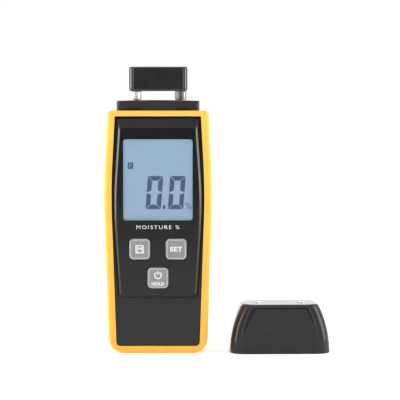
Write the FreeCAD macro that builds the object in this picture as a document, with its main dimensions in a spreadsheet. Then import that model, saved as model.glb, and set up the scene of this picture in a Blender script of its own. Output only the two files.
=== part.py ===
import FreeCAD, Part
import math
import os
import Sketcher

# Pin moisture meter. Millimetres, +Z up. The origin is the middle of the flat underside of the
# bumper, the display faces -Y, and "forward" distances are measured from the middle plane (y = 0)
# towards the display. The protective cap stands beside the meter on the same surface.

DIMENSIONS = {
    # Case flanks in front view: two straight flanks joined by a shallow belly arc.
    "body_low_height": 68.0,
    "body_low_half": 29.6,
    "body_low_slope": 0.033,
    "body_high_height": 105.0,
    "body_high_half": 29.6,
    "body_high_slope": 0.053,
    "body_belly_radius": 380.0,
    "body_height": 134.9,
    # Bumper: a C-shaped rubber ring round both shells.
    "bumper_half_depth": 14.5,
    "bumper_foot_radius": 8.5,
    "bumper_shoulder_radius": 2.4,
    "bumper_edge_radius": 2.3,
    "bumper_side_width": 4.35,
    "bumper_bottom_width": 4.1,
    "bumper_top_width": 3.1,
    "opening_foot_radius": 2.3,
    "opening_shoulder_radius": 0.6,
    "lip_grip": 2.0,
    "lip_back": 12.0,
    "head_slot_gap": 0.4,
    # Shells.
    "shell_foot_radius": 6.0,
    "shell_shoulder_radius": 1.0,
    "panel_forward": 13.4,
    "panel_gap": 0.4,
    "panel_top_gap": 0.8,
    "wall": 2.0,
    "cavity_forward": 11.4,
    # Raised display face, its bevels and the hollow behind it.
    "face_low_height": 66.5,
    "face_low_half": 22.5,
    "face_low_slope": 0.064,
    "face_high_height": 97.5,
    "face_high_half": 22.6,
    "face_high_slope": 0.065,
    "face_belly_radius": 240.0,
    "face_bottom": 32.0,
    "face_top": 125.3,
    "face_forward": 15.4,
    "face_side_bevel": 2.1,
    "face_top_bevel": 5.2,
    "face_bottom_bevel": 0.3,
    "face_corner_radius": 1.5,
    "face_groove_height": 0.6,
    "face_groove_depth": 0.7,
    "face_hollow_half": 19.5,
    "face_hollow_bottom": 34.5,
    "face_hollow_top": 123.0,
    "face_wall": 2.2,
    # Display.
    "display_half_width": 19.2,
    "display_bottom": 74.2,
    "display_top": 119.1,
    "display_corner_radius": 1.5,
    "display_frame_depth": 1.2,
    "window_flange": 1.6,
    "window_flange_thickness": 1.0,
    "window_recess": 0.2,
    "window_gap": 0.08,
    "glass_gap": 0.15,
    "glass_thickness": 2.2,
    "glass_margin": 1.2,
    "backlight_thickness": 2.4,
    "backlight_bottom": 76.4,
    "zebra_half_length": 18.0,
    "zebra_height": 2.0,
    "zebra_gap": 0.4,
    "holder_wall": 1.2,
    "holder_front": 11.2,
    # Keys.
    "key_size": 11.4,
    "key_corner_radius": 2.2,
    "key_gap": 0.4,
    "key_forward": 16.2,
    "key_edge_radius": 0.5,
    "key_flange": 0.7,
    "key_flange_thickness": 1.0,
    "key_flange_clearance": 0.2,
    "key_stem_diameter": 5.0,
    "key_stem_end": 7.0,
    "key_contact_diameter": 4.6,
    "key_contact_thickness": 0.5,
    "key_side_offset": 10.1,
    "key_upper_height": 58.3,
    "key_lower_height": 42.3,
    "keypad_half_width": 17.0,
    "keypad_bottom": 35.0,
    "keypad_top": 65.6,
    "keypad_thickness": 0.7,
    "keypad_hole": 7.0,
    # Circuit board and what stands on it.
    "board_half_width": 21.5,
    "board_bottom": 19.0,
    "board_top": 121.5,
    "board_forward": 5.6,
    "board_thickness": 1.6,
    "board_corner_radius": 1.0,
    "board_boss_diameter": 4.4,
    "board_hole": 2.2,
    "board_screw_upper_x": 18.6,
    "board_screw_upper_z": 68.0,
    "board_screw_lower_x": 15.5,
    "board_screw_lower_z": 25.0,
    "board_screw_diameter": 2.0,
    "board_screw_head": 3.6,
    "board_screw_head_height": 1.3,
    "board_screw_length": 6.0,
    "chip_size": 10.0,
    "chip_thickness": 1.6,
    "chip_height": 96.0,
    "crystal_width": 11.0,
    "crystal_height": 4.6,
    "crystal_thickness": 3.5,
    "crystal_level": 108.0,
    "capacitor_diameter": 5.0,
    "capacitor_length": 7.0,
    "capacitor_offset": 9.0,
    "capacitor_level": 83.0,
    "resistor_width": 3.2,
    "resistor_height": 1.6,
    "resistor_thickness": 0.6,
    "resistor_pitch": 5.0,
    "resistor_count": 4,
    "resistor_level": 75.5,
    # Case screws.
    "case_screw_x": 18.5,
    "case_screw_low_z": 10.5,
    "case_screw_high_z": 125.0,
    "case_boss_diameter": 6.0,
    "case_post_diameter": 7.0,
    "case_screw_diameter": 2.5,
    "case_screw_length": 18.0,
    "case_screw_head": 4.8,
    "case_screw_head_height": 1.8,
    "case_screw_sunk": 0.5,
    "case_screw_hole": 3.0,
    "case_counterbore": 5.4,
    "screw_slot_length": 2.8,
    "screw_slot_width": 0.6,
    "screw_slot_depth": 0.8,
    # Battery bay: three AAA cells side by side.
    "bay_half_width": 17.5,
    "bay_bottom": 17.0,
    "bay_top": 69.0,
    "bay_wall": 2.6,
    "bay_floor": 0.95,
    "cell_diameter": 10.4,
    "cell_length": 44.5,
    "cell_pitch": 11.0,
    "cell_depth": 6.3,
    "cell_nub_diameter": 3.8,
    "cell_nub_height": 0.8,
    "contact_thickness": 0.4,
    "contact_bump": 0.8,
    "contact_bump_diameter": 3.6,
    "contact_half_width": 4.4,
    "contact_back": 10.6,
    "contact_tail_width": 2.0,
    "contact_tail_length": 1.6,
    "spring_wire": 0.6,
    "spring_radius": 2.6,
    "spring_pitch": 1.5,
    # Battery door with two pivot pins at its lower end.
    "door_half_width": 18.7,
    "door_bottom": 15.5,
    "door_top": 70.9,
    "door_thickness": 1.5,
    "door_gap": 0.3,
    "door_seat": 1.6,
    "door_corner_radius": 1.5,
    "pivot_diameter": 1.2,
    "pivot_length": 1.1,
    "pivot_clearance": 0.06,
    "pivot_hole_depth": 1.4,
    "grip_half_length": 7.0,
    "grip_width": 0.8,
    "grip_proud": 0.35,
    "grip_pitch": 1.8,
    "grip_count": 5,
    "grip_top": 66.5,
    "notch_half_width": 5.0,
    "notch_height": 3.0,
    "notch_depth": 1.0,
    "foam_half_width": 14.0,
    "foam_bottom": 39.0,
    "foam_top": 51.0,
    "foam_thickness": 0.35,
    # Rating label on the rear panel.
    "label_half_width": 16.0,
    "label_bottom": 85.0,
    "label_top": 111.0,
    "label_recess": 0.2,
    "label_thickness": 0.15,
    "label_gap": 0.2,
    "label_corner_radius": 1.0,
    # Head with the two measuring pins.
    "head_half_width": 23.0,
    "head_half_depth": 10.0,
    "head_flange_half_width": 23.5,
    "head_flange_half_depth": 10.9,
    "head_flange_bottom": 128.3,
    "head_flange_top": 131.6,
    "head_side_top": 140.3,
    "head_crown_top": 140.7,
    "head_corner_radius": 2.0,
    "head_edge_radius": 0.6,
    "head_notch_centre": 13.5,
    "head_notch_half": 3.5,
    "head_notch_height": 1.5,
    "head_notch_depth": 0.8,
    "head_tongue_half": 3.6,
    "head_tongue_proud": 0.35,
    "head_tongue_top": 139.6,
    "pin_offset": 12.5,
    "stud_bottom": 124.5,
    "stud_tail_diameter": 2.4,
    "stud_collar_diameter": 6.0,
    "stud_collar_height": 1.0,
    "stud_shaft_diameter": 4.0,
    "stud_shoulder": 140.5,
    "stud_thread_diameter": 3.0,
    "stud_top": 144.4,
    "pin_bottom": 137.0,
    "pin_diameter": 1.5,
    "pin_top": 154.0,
    "pin_cone": 3.0,
    "nut_bottom": 140.8,
    "nut_top": 145.6,
    "nut_diameter": 6.5,
    "nut_bore": 3.1,
    "nut_bore_top": 144.7,
    "nut_mouth": 2.1,
    "nut_chamfer": 0.35,
    "knurl_depth": 0.22,
    "knurl_width": 0.5,
    "knurl_count": 20,
    # Pin guard that covers the bare pins.
    "guard_bottom": 145.7,
    "guard_top": 159.3,
    "guard_half_width": 16.35,
    "guard_half_depth": 5.2,
    "guard_corner_radius": 3.6,
    "guard_edge_radius": 1.1,
    "guard_hole": 2.6,
    "guard_hole_depth": 10.6,
    # Protective cap, mouth down beside the meter.
    "cap_x": 67.7,
    "cap_forward": 2.7,
    "cap_turn": 1.7,
    "cap_height": 27.4,
    "cap_half_width": 27.95,
    "cap_side_radius": 59.0,
    "cap_half_depth": 14.7,
    "cap_corner_radius": 8.5,
    "cap_wall": 2.0,
    "cap_top_edge_radius": 2.4,
    "cap_mouth_edge_radius": 0.4,
    "check_contact_diameter": 4.0,
    "check_contact_height": 1.0,
    "check_contact_proud": 0.25,
    "check_stem_diameter": 2.0,
    "check_stem_length": 1.65,
    # Leads between the board and the contacts.
    "lead_diameter": 1.2,
    "lead_bend_radius": 1.4,
    "lead_run": 6.0,
    # Clearance round small fixed pieces, and how far a cut runs past the face that it opens.
    "fit_gap": 0.1,
    "overcut": 1.0,
}

doc = FreeCAD.newDocument("MoistureMeter")
sheet = doc.addObject("Spreadsheet::Sheet", "dims")
sub_parts = []


def fill_sheet():
    """One row for each driving dimension: its name, and its value under the same alias."""
    for row, (alias, value) in enumerate(DIMENSIONS.items(), start=1):
        sheet.set(f"A{row}", alias.replace("_", " "))
        sheet.set(f"B{row}", str(value))
        sheet.setAlias(f"B{row}", alias)
    doc.recompute()


def size(alias):
    """The value of one driving dimension."""
    return float(sheet.get(alias))

# Places that several sub-parts share, as expressions on the sheet --------------------------------

SIDES = (("left", "-"), ("right", ""))
SHELL_INSET = "dims.bumper_side_width - dims.lip_grip"
SHELL_BOTTOM = "dims.bumper_bottom_width - dims.lip_grip"
OPENING_TOP = "dims.body_height - dims.bumper_top_width"
SHELL_TOP = f"{OPENING_TOP} + dims.lip_grip"
FACE_FOOT = "dims.face_bottom - dims.face_bottom_bevel"
FACE_INSIDE = "(dims.face_forward - dims.face_wall)"
WINDOW_SEAT = "(dims.face_forward - dims.display_frame_depth)"
GLASS_FORWARD = f"({WINDOW_SEAT} - dims.window_flange_thickness - dims.glass_gap)"
GLASS_BACK = f"({GLASS_FORWARD} - dims.glass_thickness)"
BACKLIGHT_BACK = f"({GLASS_BACK} - dims.backlight_thickness)"
ZEBRA_BOTTOM = "(dims.backlight_bottom - dims.zebra_height - dims.zebra_gap)"
BOARD_BACK = "(dims.board_forward - dims.board_thickness)"
SCREW_HEAD_FLOOR = "(dims.panel_forward - dims.case_screw_sunk - dims.case_screw_head_height)"
DOOR_INSIDE = "(dims.panel_forward - dims.door_thickness)"
DOOR_AXIS_Y = "(dims.panel_forward - dims.door_thickness / 2)"
DOOR_AXIS_Z = "(dims.door_bottom + dims.door_thickness / 2)"


# Bodies, sketches and features -----------------------------------------------------------------


def new_body(node):
    """An empty body for one sub-part; its label names the sub-part's file."""
    body = doc.addObject("PartDesign::Body", node)
    body.Label = node
    sub_parts.append(body)
    return body


def origin_plane(body, role):
    for feature in body.Origin.OriginFeatures:
        if feature.Role == role:
            return feature
    raise ValueError(f"{body.Label} has no origin plane {role}")


def sketch_on(body, name, role, offset):
    """A sketch parallel to one origin plane of its body, offset along that plane's normal."""
    sketch = body.newObject("Sketcher::SketchObject", f"{body.Name}_{name}")
    sketch.AttachmentSupport = [(origin_plane(body, role), "")]
    sketch.MapMode = "FlatFace"
    sketch.setExpression("AttachmentOffset.Base.z", offset)
    return sketch


def front_sketch(body, name, forward):
    """A sketch seen from the front (x, z), at a distance forward of the middle plane."""
    return sketch_on(body, name, "XZ_Plane", forward)


def level_sketch(body, name, height):
    """A sketch seen from above (x, y), at a height."""
    return sketch_on(body, name, "XY_Plane", height)


def side_sketch(body, name, x="0"):
    """A sketch seen from the +X side (y, z), at a distance along X."""
    return sketch_on(body, name, "YZ_Plane", x)


def bind(sketch, kind, items, drawn, expression):
    """A dimensional constraint, first at its drawn value and then driven by an expression."""
    index = sketch.addConstraint(Sketcher.Constraint(kind, *items, drawn))
    sketch.setExpression(f"Constraints[{index}]", expression)


def place_along_x(sketch, geometry, end, x):
    bind(sketch, "DistanceX", (-1, 1, geometry, end), sketch.getPoint(geometry, end).x, x)


def place_along_y(sketch, geometry, end, y):
    bind(sketch, "DistanceY", (-1, 1, geometry, end), sketch.getPoint(geometry, end).y, y)


def place_point(sketch, geometry, end, x, y):
    place_along_x(sketch, geometry, end, x)
    place_along_y(sketch, geometry, end, y)


def bind_radius(sketch, geometry, radius):
    bind(sketch, "Radius", (geometry,), sketch.Geometry[geometry].Radius, radius)


def add_polygon(sketch, corners):
    """A closed outline of straight lines through corners, each a pair of expressions."""
    first = sketch.GeometryCount
    count = len(corners)
    angles = [2 * math.pi * i / count for i in range(count)]
    ring = [FreeCAD.Vector(math.cos(angle), math.sin(angle)) for angle in angles]
    for i in range(count):
        sketch.addGeometry(Part.LineSegment(ring[i], ring[(i + 1) % count]), False)
    for i in range(count):
        sketch.addConstraint(Sketcher.Constraint("Coincident", first + i, 2, first + (i + 1) % count, 1))
    for i, (x, y) in enumerate(corners):
        place_point(sketch, first + i, 1, x, y)


def add_rectangle(sketch, left, right, bottom, top):
    add_polygon(sketch, [(left, bottom), (right, bottom), (right, top), (left, top)])


def add_rounded_rectangle(sketch, left, right, bottom, top, radius):
    """A rectangle with four equal corner arcs, its sides at the given expressions."""
    first = sketch.GeometryCount
    near, far, side = 1.0, 9.0, 10.0
    point = FreeCAD.Vector
    sides = (
        (point(near, 0), point(far, 0)),
        (point(side, near), point(side, far)),
        (point(far, side), point(near, side)),
        (point(0, far), point(0, near)),
    )
    centres = (point(far, near), point(far, far), point(near, far), point(near, near))
    for start, end in sides:
        sketch.addGeometry(Part.LineSegment(start, end), False)
    for quarter, centre in enumerate(centres):
        turn = math.pi / 2 * (quarter - 1)
        circle = Part.Circle(centre, point(0, 0, 1), near)
        sketch.addGeometry(Part.ArcOfCircle(circle, turn, turn + math.pi / 2), False)
    for i in range(4):
        sketch.addConstraint(Sketcher.Constraint("Tangent", first + i, 2, first + 4 + i, 1))
        sketch.addConstraint(Sketcher.Constraint("Tangent", first + 4 + i, 2, first + (i + 1) % 4, 1))
    for i in (1, 2, 3):
        sketch.addConstraint(Sketcher.Constraint("Equal", first + 4, first + 4 + i))
    for i in (0, 2):
        sketch.addConstraint(Sketcher.Constraint("Horizontal", first + i))
        sketch.addConstraint(Sketcher.Constraint("Vertical", first + i + 1))
    bind_radius(sketch, first + 4, radius)
    place_along_y(sketch, first, 1, bottom)
    place_along_x(sketch, first + 1, 1, right)
    place_along_y(sketch, first + 2, 1, top)
    place_along_x(sketch, first + 3, 1, left)


def add_circle(sketch, diameter, x="0", y="0"):
    circle = sketch.addGeometry(Part.Circle(FreeCAD.Vector(1, 1), FreeCAD.Vector(0, 0, 1), 1), False)
    place_point(sketch, circle, 3, x, y)
    bind_radius(sketch, circle, f"({diameter}) / 2")


def pad(body, name, sketch, length, towards_normal=True):
    feature = body.newObject("PartDesign::Pad", f"{body.Name}_{name}")
    feature.Profile = sketch
    feature.setExpression("Length", length)
    feature.Reversed = not towards_normal
    doc.recompute()
    return feature


def pocket(body, name, sketch, depth, towards_normal=False):
    """A cut that must take material away, so the body's volume is compared."""
    before = body.Shape.Volume
    feature = body.newObject("PartDesign::Pocket", f"{body.Name}_{name}")
    feature.Profile = sketch
    feature.setExpression("Length", depth)
    feature.Reversed = towards_normal
    doc.recompute()
    if body.Shape.Volume >= before:
        raise RuntimeError(f"{feature.Name} removes nothing")
    return feature


def revolve(body, name, sketch):
    """A full turn about the sketch's vertical axis."""
    feature = body.newObject("PartDesign::Revolution", f"{body.Name}_{name}")
    feature.Profile = sketch
    feature.ReferenceAxis = (sketch, ["V_Axis"])
    feature.Angle = 360
    doc.recompute()
    return feature


def round_edges(body, name, radius, chosen):
    """Fillet every edge of the body's last feature for which chosen(edge) holds."""
    base = body.Tip
    edges = [f"Edge{i}" for i, edge in enumerate(base.Shape.Edges, start=1) if chosen(edge)]
    feature = body.newObject("PartDesign::Fillet", f"{body.Name}_{name}")
    feature.Base = (base, edges)
    feature.setExpression("Radius", radius)
    doc.recompute()
    return feature


PICK_SLACK = 0.05


def on_plane(edge, axis, place):
    """Whether an edge lies in the plane where the x, y or z coordinate (axis) equals place."""
    box = edge.BoundBox
    low = (box.XMin, box.YMin, box.ZMin)[axis]
    high = (box.XMax, box.YMax, box.ZMax)[axis]
    return abs(low - place) < PICK_SLACK and abs(high - place) < PICK_SLACK


def runs_along(edge, axis):
    """Whether an edge's ends differ only along one axis."""
    start, end = edge.Vertexes[0].Point, edge.Vertexes[-1].Point
    span = [abs(start[i] - end[i]) for i in range(3)]
    return span.pop(axis) > PICK_SLACK and max(span) < PICK_SLACK


def place_body(body, x="0", y="0", z="0"):
    for axis, expression in zip("xyz", (x, y, z)):
        body.setExpression(f"Placement.Base.{axis}", expression)


def mirrored_points(x, y_values):
    """Pairs of expressions at -x and +x for each y."""
    return [(sign + x, y) for y in y_values for sign in ("-", "")]


# The case outline ------------------------------------------------------------------------------


def half_width(curve, height):
    """Expression of a flank's half width at a height outside its belly arc; curve is body or face."""
    low = f"dims.{curve}_low_half - dims.{curve}_low_slope * (dims.{curve}_low_height - ({height}))"
    high = f"dims.{curve}_high_half - dims.{curve}_high_slope * (({height}) - dims.{curve}_high_height)"
    return f"(({height}) < dims.{curve}_low_height ? {low} : {high})"


def add_waisted_outline(sketch, curve, inset, bottom, top, foot_radius, shoulder_radius):
    """The case's outline in front view, inset from the named flank curve and cut off at two heights.

    It runs from the bottom line up the right side, along the top and down the left side. It is drawn
    first with upright flanks, and then its constraints pull it into shape.
    """
    drawn_below, drawn_above = 30, 20
    half = size(f"{curve}_low_half")
    low = size(f"{curve}_low_height")
    high = size(f"{curve}_high_height")
    low_z, high_z = low - drawn_below, high + drawn_above
    corner = 2.0
    bulge = 0.5
    point = FreeCAD.Vector

    def corner_arc(x, z, quarter):
        circle = Part.Circle(point(x, z), point(0, 0, 1), corner)
        turn = math.pi / 2 * quarter
        return Part.ArcOfCircle(circle, turn, turn + math.pi / 2)

    def belly(side):
        ends = [point(side * half, low), point(side * half, high)]
        return Part.Arc(ends[0], point(side * (half + bulge), (low + high) / 2), ends[1])

    def line(x1, z1, x2, z2):
        return Part.LineSegment(point(x1, z1), point(x2, z2))

    inner = half - corner
    outline = (
        line(-inner, low_z, inner, low_z),
        corner_arc(inner, low_z + corner, -1),
        line(half, low_z + corner, half, low),
        belly(1),
        line(half, high, half, high_z - corner),
        corner_arc(inner, high_z - corner, 0),
        line(inner, high_z, -inner, high_z),
        corner_arc(-inner, high_z - corner, 1),
        line(-half, high_z - corner, -half, high),
        belly(-1),
        line(-half, low, -half, low_z + corner),
        corner_arc(-inner, low_z + corner, 2),
    )
    for geometry in outline:
        sketch.addGeometry(geometry, False)
    belly_arcs = (3, 9)
    for i in range(len(outline)):
        following = (i + 1) % len(outline)
        joint = "Coincident" if i in belly_arcs or following in belly_arcs else "Tangent"
        sketch.addConstraint(Sketcher.Constraint(joint, i, 2, following, 1))
    for level, height in ((0, bottom), (6, top)):
        sketch.addConstraint(Sketcher.Constraint("Horizontal", level))
        place_along_y(sketch, level, 1, height)
    low_end = f"(dims.{curve}_low_half - ({inset}))"
    high_end = f"(dims.{curve}_high_half - ({inset}))"
    place_point(sketch, 3, 1, low_end, f"dims.{curve}_low_height")
    place_point(sketch, 3, 2, high_end, f"dims.{curve}_high_height")
    place_point(sketch, 9, 1, "-" + high_end, f"dims.{curve}_high_height")
    place_point(sketch, 9, 2, "-" + low_end, f"dims.{curve}_low_height")
    for arc in belly_arcs:
        bind_radius(sketch, arc, f"dims.{curve}_belly_radius - ({inset})")
    for arc, radius in ((1, foot_radius), (5, shoulder_radius), (7, shoulder_radius), (11, foot_radius)):
        bind_radius(sketch, arc, radius)
    for flank, sign, height, level in ((2, "", bottom, low_z), (4, "", top, high_z),
                                       (8, "-", top, high_z), (10, "-", bottom, low_z)):
        side = -half if sign else half
        aim = sketch.addGeometry(Part.Point(point(side, level)), True)
        sketch.addConstraint(Sketcher.Constraint("PointOnObject", aim, 1, flank))
        place_point(sketch, aim, 1, f"{sign}({half_width(curve, height)} - ({inset}))", height)


def shell_outline(sketch):
    """The shells' outline, held behind the bumper's lips."""
    add_waisted_outline(sketch, "body", SHELL_INSET, SHELL_BOTTOM, SHELL_TOP,
                        "dims.shell_foot_radius", "dims.shell_shoulder_radius")


def opening_outline(sketch):
    """The bumper's opening, which is also the shells' inside."""
    add_waisted_outline(sketch, "body", "dims.bumper_side_width", "dims.bumper_bottom_width", OPENING_TOP,
                        "dims.opening_foot_radius", "dims.opening_shoulder_radius")


def panel_outline(sketch):
    """The part of a shell that shows inside the bumper's opening."""
    add_waisted_outline(sketch, "body", "dims.bumper_side_width + dims.panel_gap",
                        "dims.bumper_bottom_width + dims.panel_gap", f"{OPENING_TOP} - dims.panel_top_gap",
                        "dims.opening_foot_radius", "dims.opening_shoulder_radius")


def head_slot(body, bottom, front, back):
    """The slot in the top wall that the head's neck comes through."""
    sketch = level_sketch(body, "head_slot_outline", "dims.body_height + dims.head_slot_gap")
    half = "(dims.head_half_width + dims.head_slot_gap / 2)"
    add_rectangle(sketch, f"-{half}", half, front, back)
    pocket(body, "head_slot", sketch, f"dims.body_height + dims.head_slot_gap - ({bottom})")


# Case ------------------------------------------------------------------------------------------


def bumper_frame():
    """Rubber ring with lips in front of and behind the shells."""
    body = new_body("bumper_frame")
    outer = front_sketch(body, "outer_outline", "dims.bumper_half_depth")
    add_waisted_outline(outer, "body", "0", "0", "dims.body_height",
                        "dims.bumper_foot_radius", "dims.bumper_shoulder_radius")
    pad(body, "ring", outer, "2 * dims.bumper_half_depth", towards_normal=False)
    depth = size("bumper_half_depth")
    round_edges(body, "edges", "dims.bumper_edge_radius",
                lambda edge: on_plane(edge, 1, -depth) or on_plane(edge, 1, depth))
    opening = front_sketch(body, "opening_outline", "dims.bumper_half_depth")
    opening_outline(opening)
    pocket(body, "opening", opening, "2 * dims.bumper_half_depth")
    hollow = front_sketch(body, "hollow_outline", "dims.lip_back")
    shell_outline(hollow)
    pocket(body, "hollow", hollow, "2 * dims.lip_back")
    half_slot = "(dims.head_half_depth + dims.head_slot_gap)"
    head_slot(body, SHELL_TOP, f"-{half_slot}", half_slot)


def corner_points():
    """Places of the four case screws in front view."""
    return mirrored_points("dims.case_screw_x", ("dims.case_screw_low_z", "dims.case_screw_high_z"))


def board_points():
    """Places of the four board screws in front view."""
    upper = mirrored_points("dims.board_screw_upper_x", ("dims.board_screw_upper_z",))
    lower = mirrored_points("dims.board_screw_lower_x", ("dims.board_screw_lower_z",))
    return upper + lower


def key_points():
    """Key name, x and height of each key's middle."""
    return (
        ("memory", "-dims.key_side_offset", "dims.key_upper_height"),
        ("set", "dims.key_side_offset", "dims.key_upper_height"),
        ("hold", "0", "dims.key_lower_height"),
    )


def front_box(body, name, forward, depth, sides, backwards=True):
    """A block between two depths whose sides are (left, right, bottom, top)."""
    sketch = front_sketch(body, f"{name}_outline", forward)
    add_rectangle(sketch, *sides)
    return pad(body, name, sketch, depth, towards_normal=not backwards)


def front_cut(body, name, forward, depth, sides, forwards=False):
    """A rectangular cut from one depth, backwards unless forwards is set."""
    sketch = front_sketch(body, f"{name}_outline", forward)
    add_rectangle(sketch, *sides)
    return pocket(body, name, sketch, depth, towards_normal=forwards)


def front_holes(body, name, forward, depth, diameter, places, forwards=False):
    sketch = front_sketch(body, f"{name}_outline", forward)
    for x, z in places:
        add_circle(sketch, diameter, x, z)
    return pocket(body, name, sketch, depth, towards_normal=forwards)


def front_posts(body, name, forward, length, diameter, places, forwards=True):
    sketch = front_sketch(body, f"{name}_outline", forward)
    for x, z in places:
        add_circle(sketch, diameter, x, z)
    return pad(body, name, sketch, length, towards_normal=forwards)


def raised_face(body):
    """The display face, raised off the panel by slanted bevels."""
    foot = front_sketch(body, "face_foot", "dims.panel_forward")
    add_waisted_outline(foot, "face", "-dims.face_side_bevel", FACE_FOOT,
                        "dims.face_top + dims.face_top_bevel", "dims.face_corner_radius",
                        "dims.face_corner_radius")
    rim = front_sketch(body, "face_rim", "dims.face_forward")
    add_waisted_outline(rim, "face", "0", "dims.face_bottom", "dims.face_top",
                        "dims.face_corner_radius", "dims.face_corner_radius")
    face = body.newObject("PartDesign::AdditiveLoft", f"{body.Name}_face")
    face.Profile = foot
    face.Sections = [rim]
    face.Ruled = True
    doc.recompute()


def front_shell():
    """Front half of the case with the raised face, the display opening and the key holes."""
    body = new_body("front_shell")
    rim = front_sketch(body, "rim_outline", "dims.lip_back")
    shell_outline(rim)
    pad(body, "rim", rim, "dims.lip_back", towards_normal=False)
    panel = front_sketch(body, "panel_outline", "dims.panel_forward")
    panel_outline(panel)
    pad(body, "panel", panel, "dims.panel_forward - dims.lip_back", towards_normal=False)
    raised_face(body)
    cavity = front_sketch(body, "cavity_outline", "0")
    opening_outline(cavity)
    pocket(body, "cavity", cavity, "dims.cavity_forward", towards_normal=True)
    groove = ("-dims.face_hollow_half", "dims.face_hollow_half",
              f"{FACE_FOOT} - dims.face_groove_height", FACE_FOOT)
    front_cut(body, "face_groove", "dims.panel_forward", "dims.face_groove_depth", groove)
    hollow = ("-dims.face_hollow_half", "dims.face_hollow_half",
              "dims.face_hollow_bottom", "dims.face_hollow_top")
    front_cut(body, "face_hollow", "0", FACE_INSIDE, hollow, forwards=True)
    flange = "dims.window_flange + dims.window_gap"
    seat = (f"-(dims.display_half_width + {flange})", f"dims.display_half_width + {flange}",
            f"dims.display_bottom - ({flange})", f"dims.display_top + {flange}")
    front_cut(body, "window_seat", "0", WINDOW_SEAT, seat, forwards=True)
    aperture = front_sketch(body, "display_outline", "0")
    add_rounded_rectangle(aperture, "-dims.display_half_width", "dims.display_half_width",
                          "dims.display_bottom", "dims.display_top", "dims.display_corner_radius")
    pocket(body, "display_opening", aperture, "dims.face_forward + dims.overcut", towards_normal=True)
    reach = "dims.key_size / 2 + dims.key_gap"
    for key, x, z in key_points():
        hole = front_sketch(body, f"{key}_hole_outline", "0")
        add_rounded_rectangle(hole, f"{x} - ({reach})", f"{x} + {reach}", f"{z} - ({reach})",
                              f"{z} + {reach}", "dims.key_corner_radius + dims.key_gap")
        pocket(body, f"{key}_hole", hole, "dims.face_forward + dims.overcut", towards_normal=True)
    front_posts(body, "case_bosses", "0", "dims.cavity_forward", "dims.case_boss_diameter", corner_points())
    front_holes(body, "case_threads", "0", f"dims.case_screw_length - {SCREW_HEAD_FLOOR}",
                "dims.case_screw_diameter", corner_points(), forwards=True)
    front_posts(body, "board_bosses", "dims.board_forward", f"{FACE_INSIDE} - dims.board_forward",
                "dims.board_boss_diameter", board_points())
    front_holes(body, "board_threads", "dims.board_forward", "dims.board_screw_length - dims.board_thickness",
                "dims.board_screw_diameter", board_points(), forwards=True)
    head_slot(body, "dims.head_flange_top", "-(dims.head_half_depth + dims.head_slot_gap / 2)", "0")


def rear_shell():
    """Rear half of the case with the battery bay, the door seat and the screw posts."""
    body = new_body("rear_shell")
    rim = front_sketch(body, "rim_outline", "0")
    shell_outline(rim)
    pad(body, "rim", rim, "dims.lip_back", towards_normal=False)
    panel = front_sketch(body, "panel_outline", "-dims.lip_back")
    panel_outline(panel)
    pad(body, "panel", panel, "dims.panel_forward - dims.lip_back", towards_normal=False)
    cavity = front_sketch(body, "cavity_outline", "0")
    opening_outline(cavity)
    pocket(body, "cavity", cavity, "dims.cavity_forward")
    block = ("-(dims.bay_half_width + dims.bay_wall)", "dims.bay_half_width + dims.bay_wall",
             "dims.bay_bottom - dims.bay_wall", "dims.bay_top + dims.bay_wall")
    front_box(body, "bay_block", "0", "dims.lip_back", block)
    front_posts(body, "case_posts", "0", "dims.lip_back", "dims.case_post_diameter", corner_points(),
                forwards=False)
    bay = ("-dims.bay_half_width", "dims.bay_half_width", "dims.bay_bottom", "dims.bay_top")
    front_cut(body, "bay", "-dims.bay_floor", "dims.panel_forward", bay)
    gap = "dims.door_gap"
    seat = (f"-(dims.door_half_width + {gap})", f"dims.door_half_width + {gap}",
            f"dims.door_bottom - {gap}", f"dims.door_top + {gap}")
    seat_floor = "dims.panel_forward - dims.door_seat"
    front_cut(body, "door_seat", f"-({seat_floor})", "dims.panel_forward", seat)
    notch = ("-dims.notch_half_width", "dims.notch_half_width",
             "dims.door_top - dims.overcut", "dims.door_top + dims.notch_height")
    front_cut(body, "finger_notch", "-(dims.panel_forward - dims.notch_depth)", "dims.panel_forward", notch)
    pivots = side_sketch(body, "pivot_outline",
                         "-(dims.door_half_width + dims.door_gap + dims.pivot_hole_depth)")
    add_circle(pivots, "dims.pivot_diameter + 2 * dims.pivot_clearance", DOOR_AXIS_Y, DOOR_AXIS_Z)
    pocket(body, "pivot_holes", pivots,
           "2 * (dims.door_half_width + dims.door_gap + dims.pivot_hole_depth)", towards_normal=True)
    front_holes(body, "screw_holes", "0", "dims.panel_forward + dims.overcut", "dims.case_screw_hole",
                corner_points())
    front_holes(body, "counterbores", f"-{SCREW_HEAD_FLOOR}", "dims.panel_forward", "dims.case_counterbore",
                corner_points())
    label = ("-dims.label_half_width", "dims.label_half_width", "dims.label_bottom", "dims.label_top")
    front_cut(body, "label_recess", "-(dims.panel_forward - dims.label_recess)", "dims.panel_forward", label)
    half_slot = "(dims.contact_tail_width / 2 + dims.fit_gap)"
    slot_height = "dims.contact_thickness + dims.fit_gap"
    tails = (
        ("negative", "-dims.cell_pitch", "dims.bay_bottom", f"dims.bay_bottom + {slot_height}"),
        ("positive", "dims.cell_pitch", f"dims.bay_top - ({slot_height})", "dims.bay_top"),
    )
    for end, x, bottom, top in tails:
        slot = (f"{x} - {half_slot}", f"{x} + {half_slot}", bottom, top)
        front_cut(body, f"{end}_tail_slot", "dims.overcut", "dims.overcut + dims.bay_floor", slot)
    head_slot(body, "dims.head_flange_top", "0", "dims.head_half_depth + dims.head_slot_gap / 2")


# Display ---------------------------------------------------------------------------------------


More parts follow.
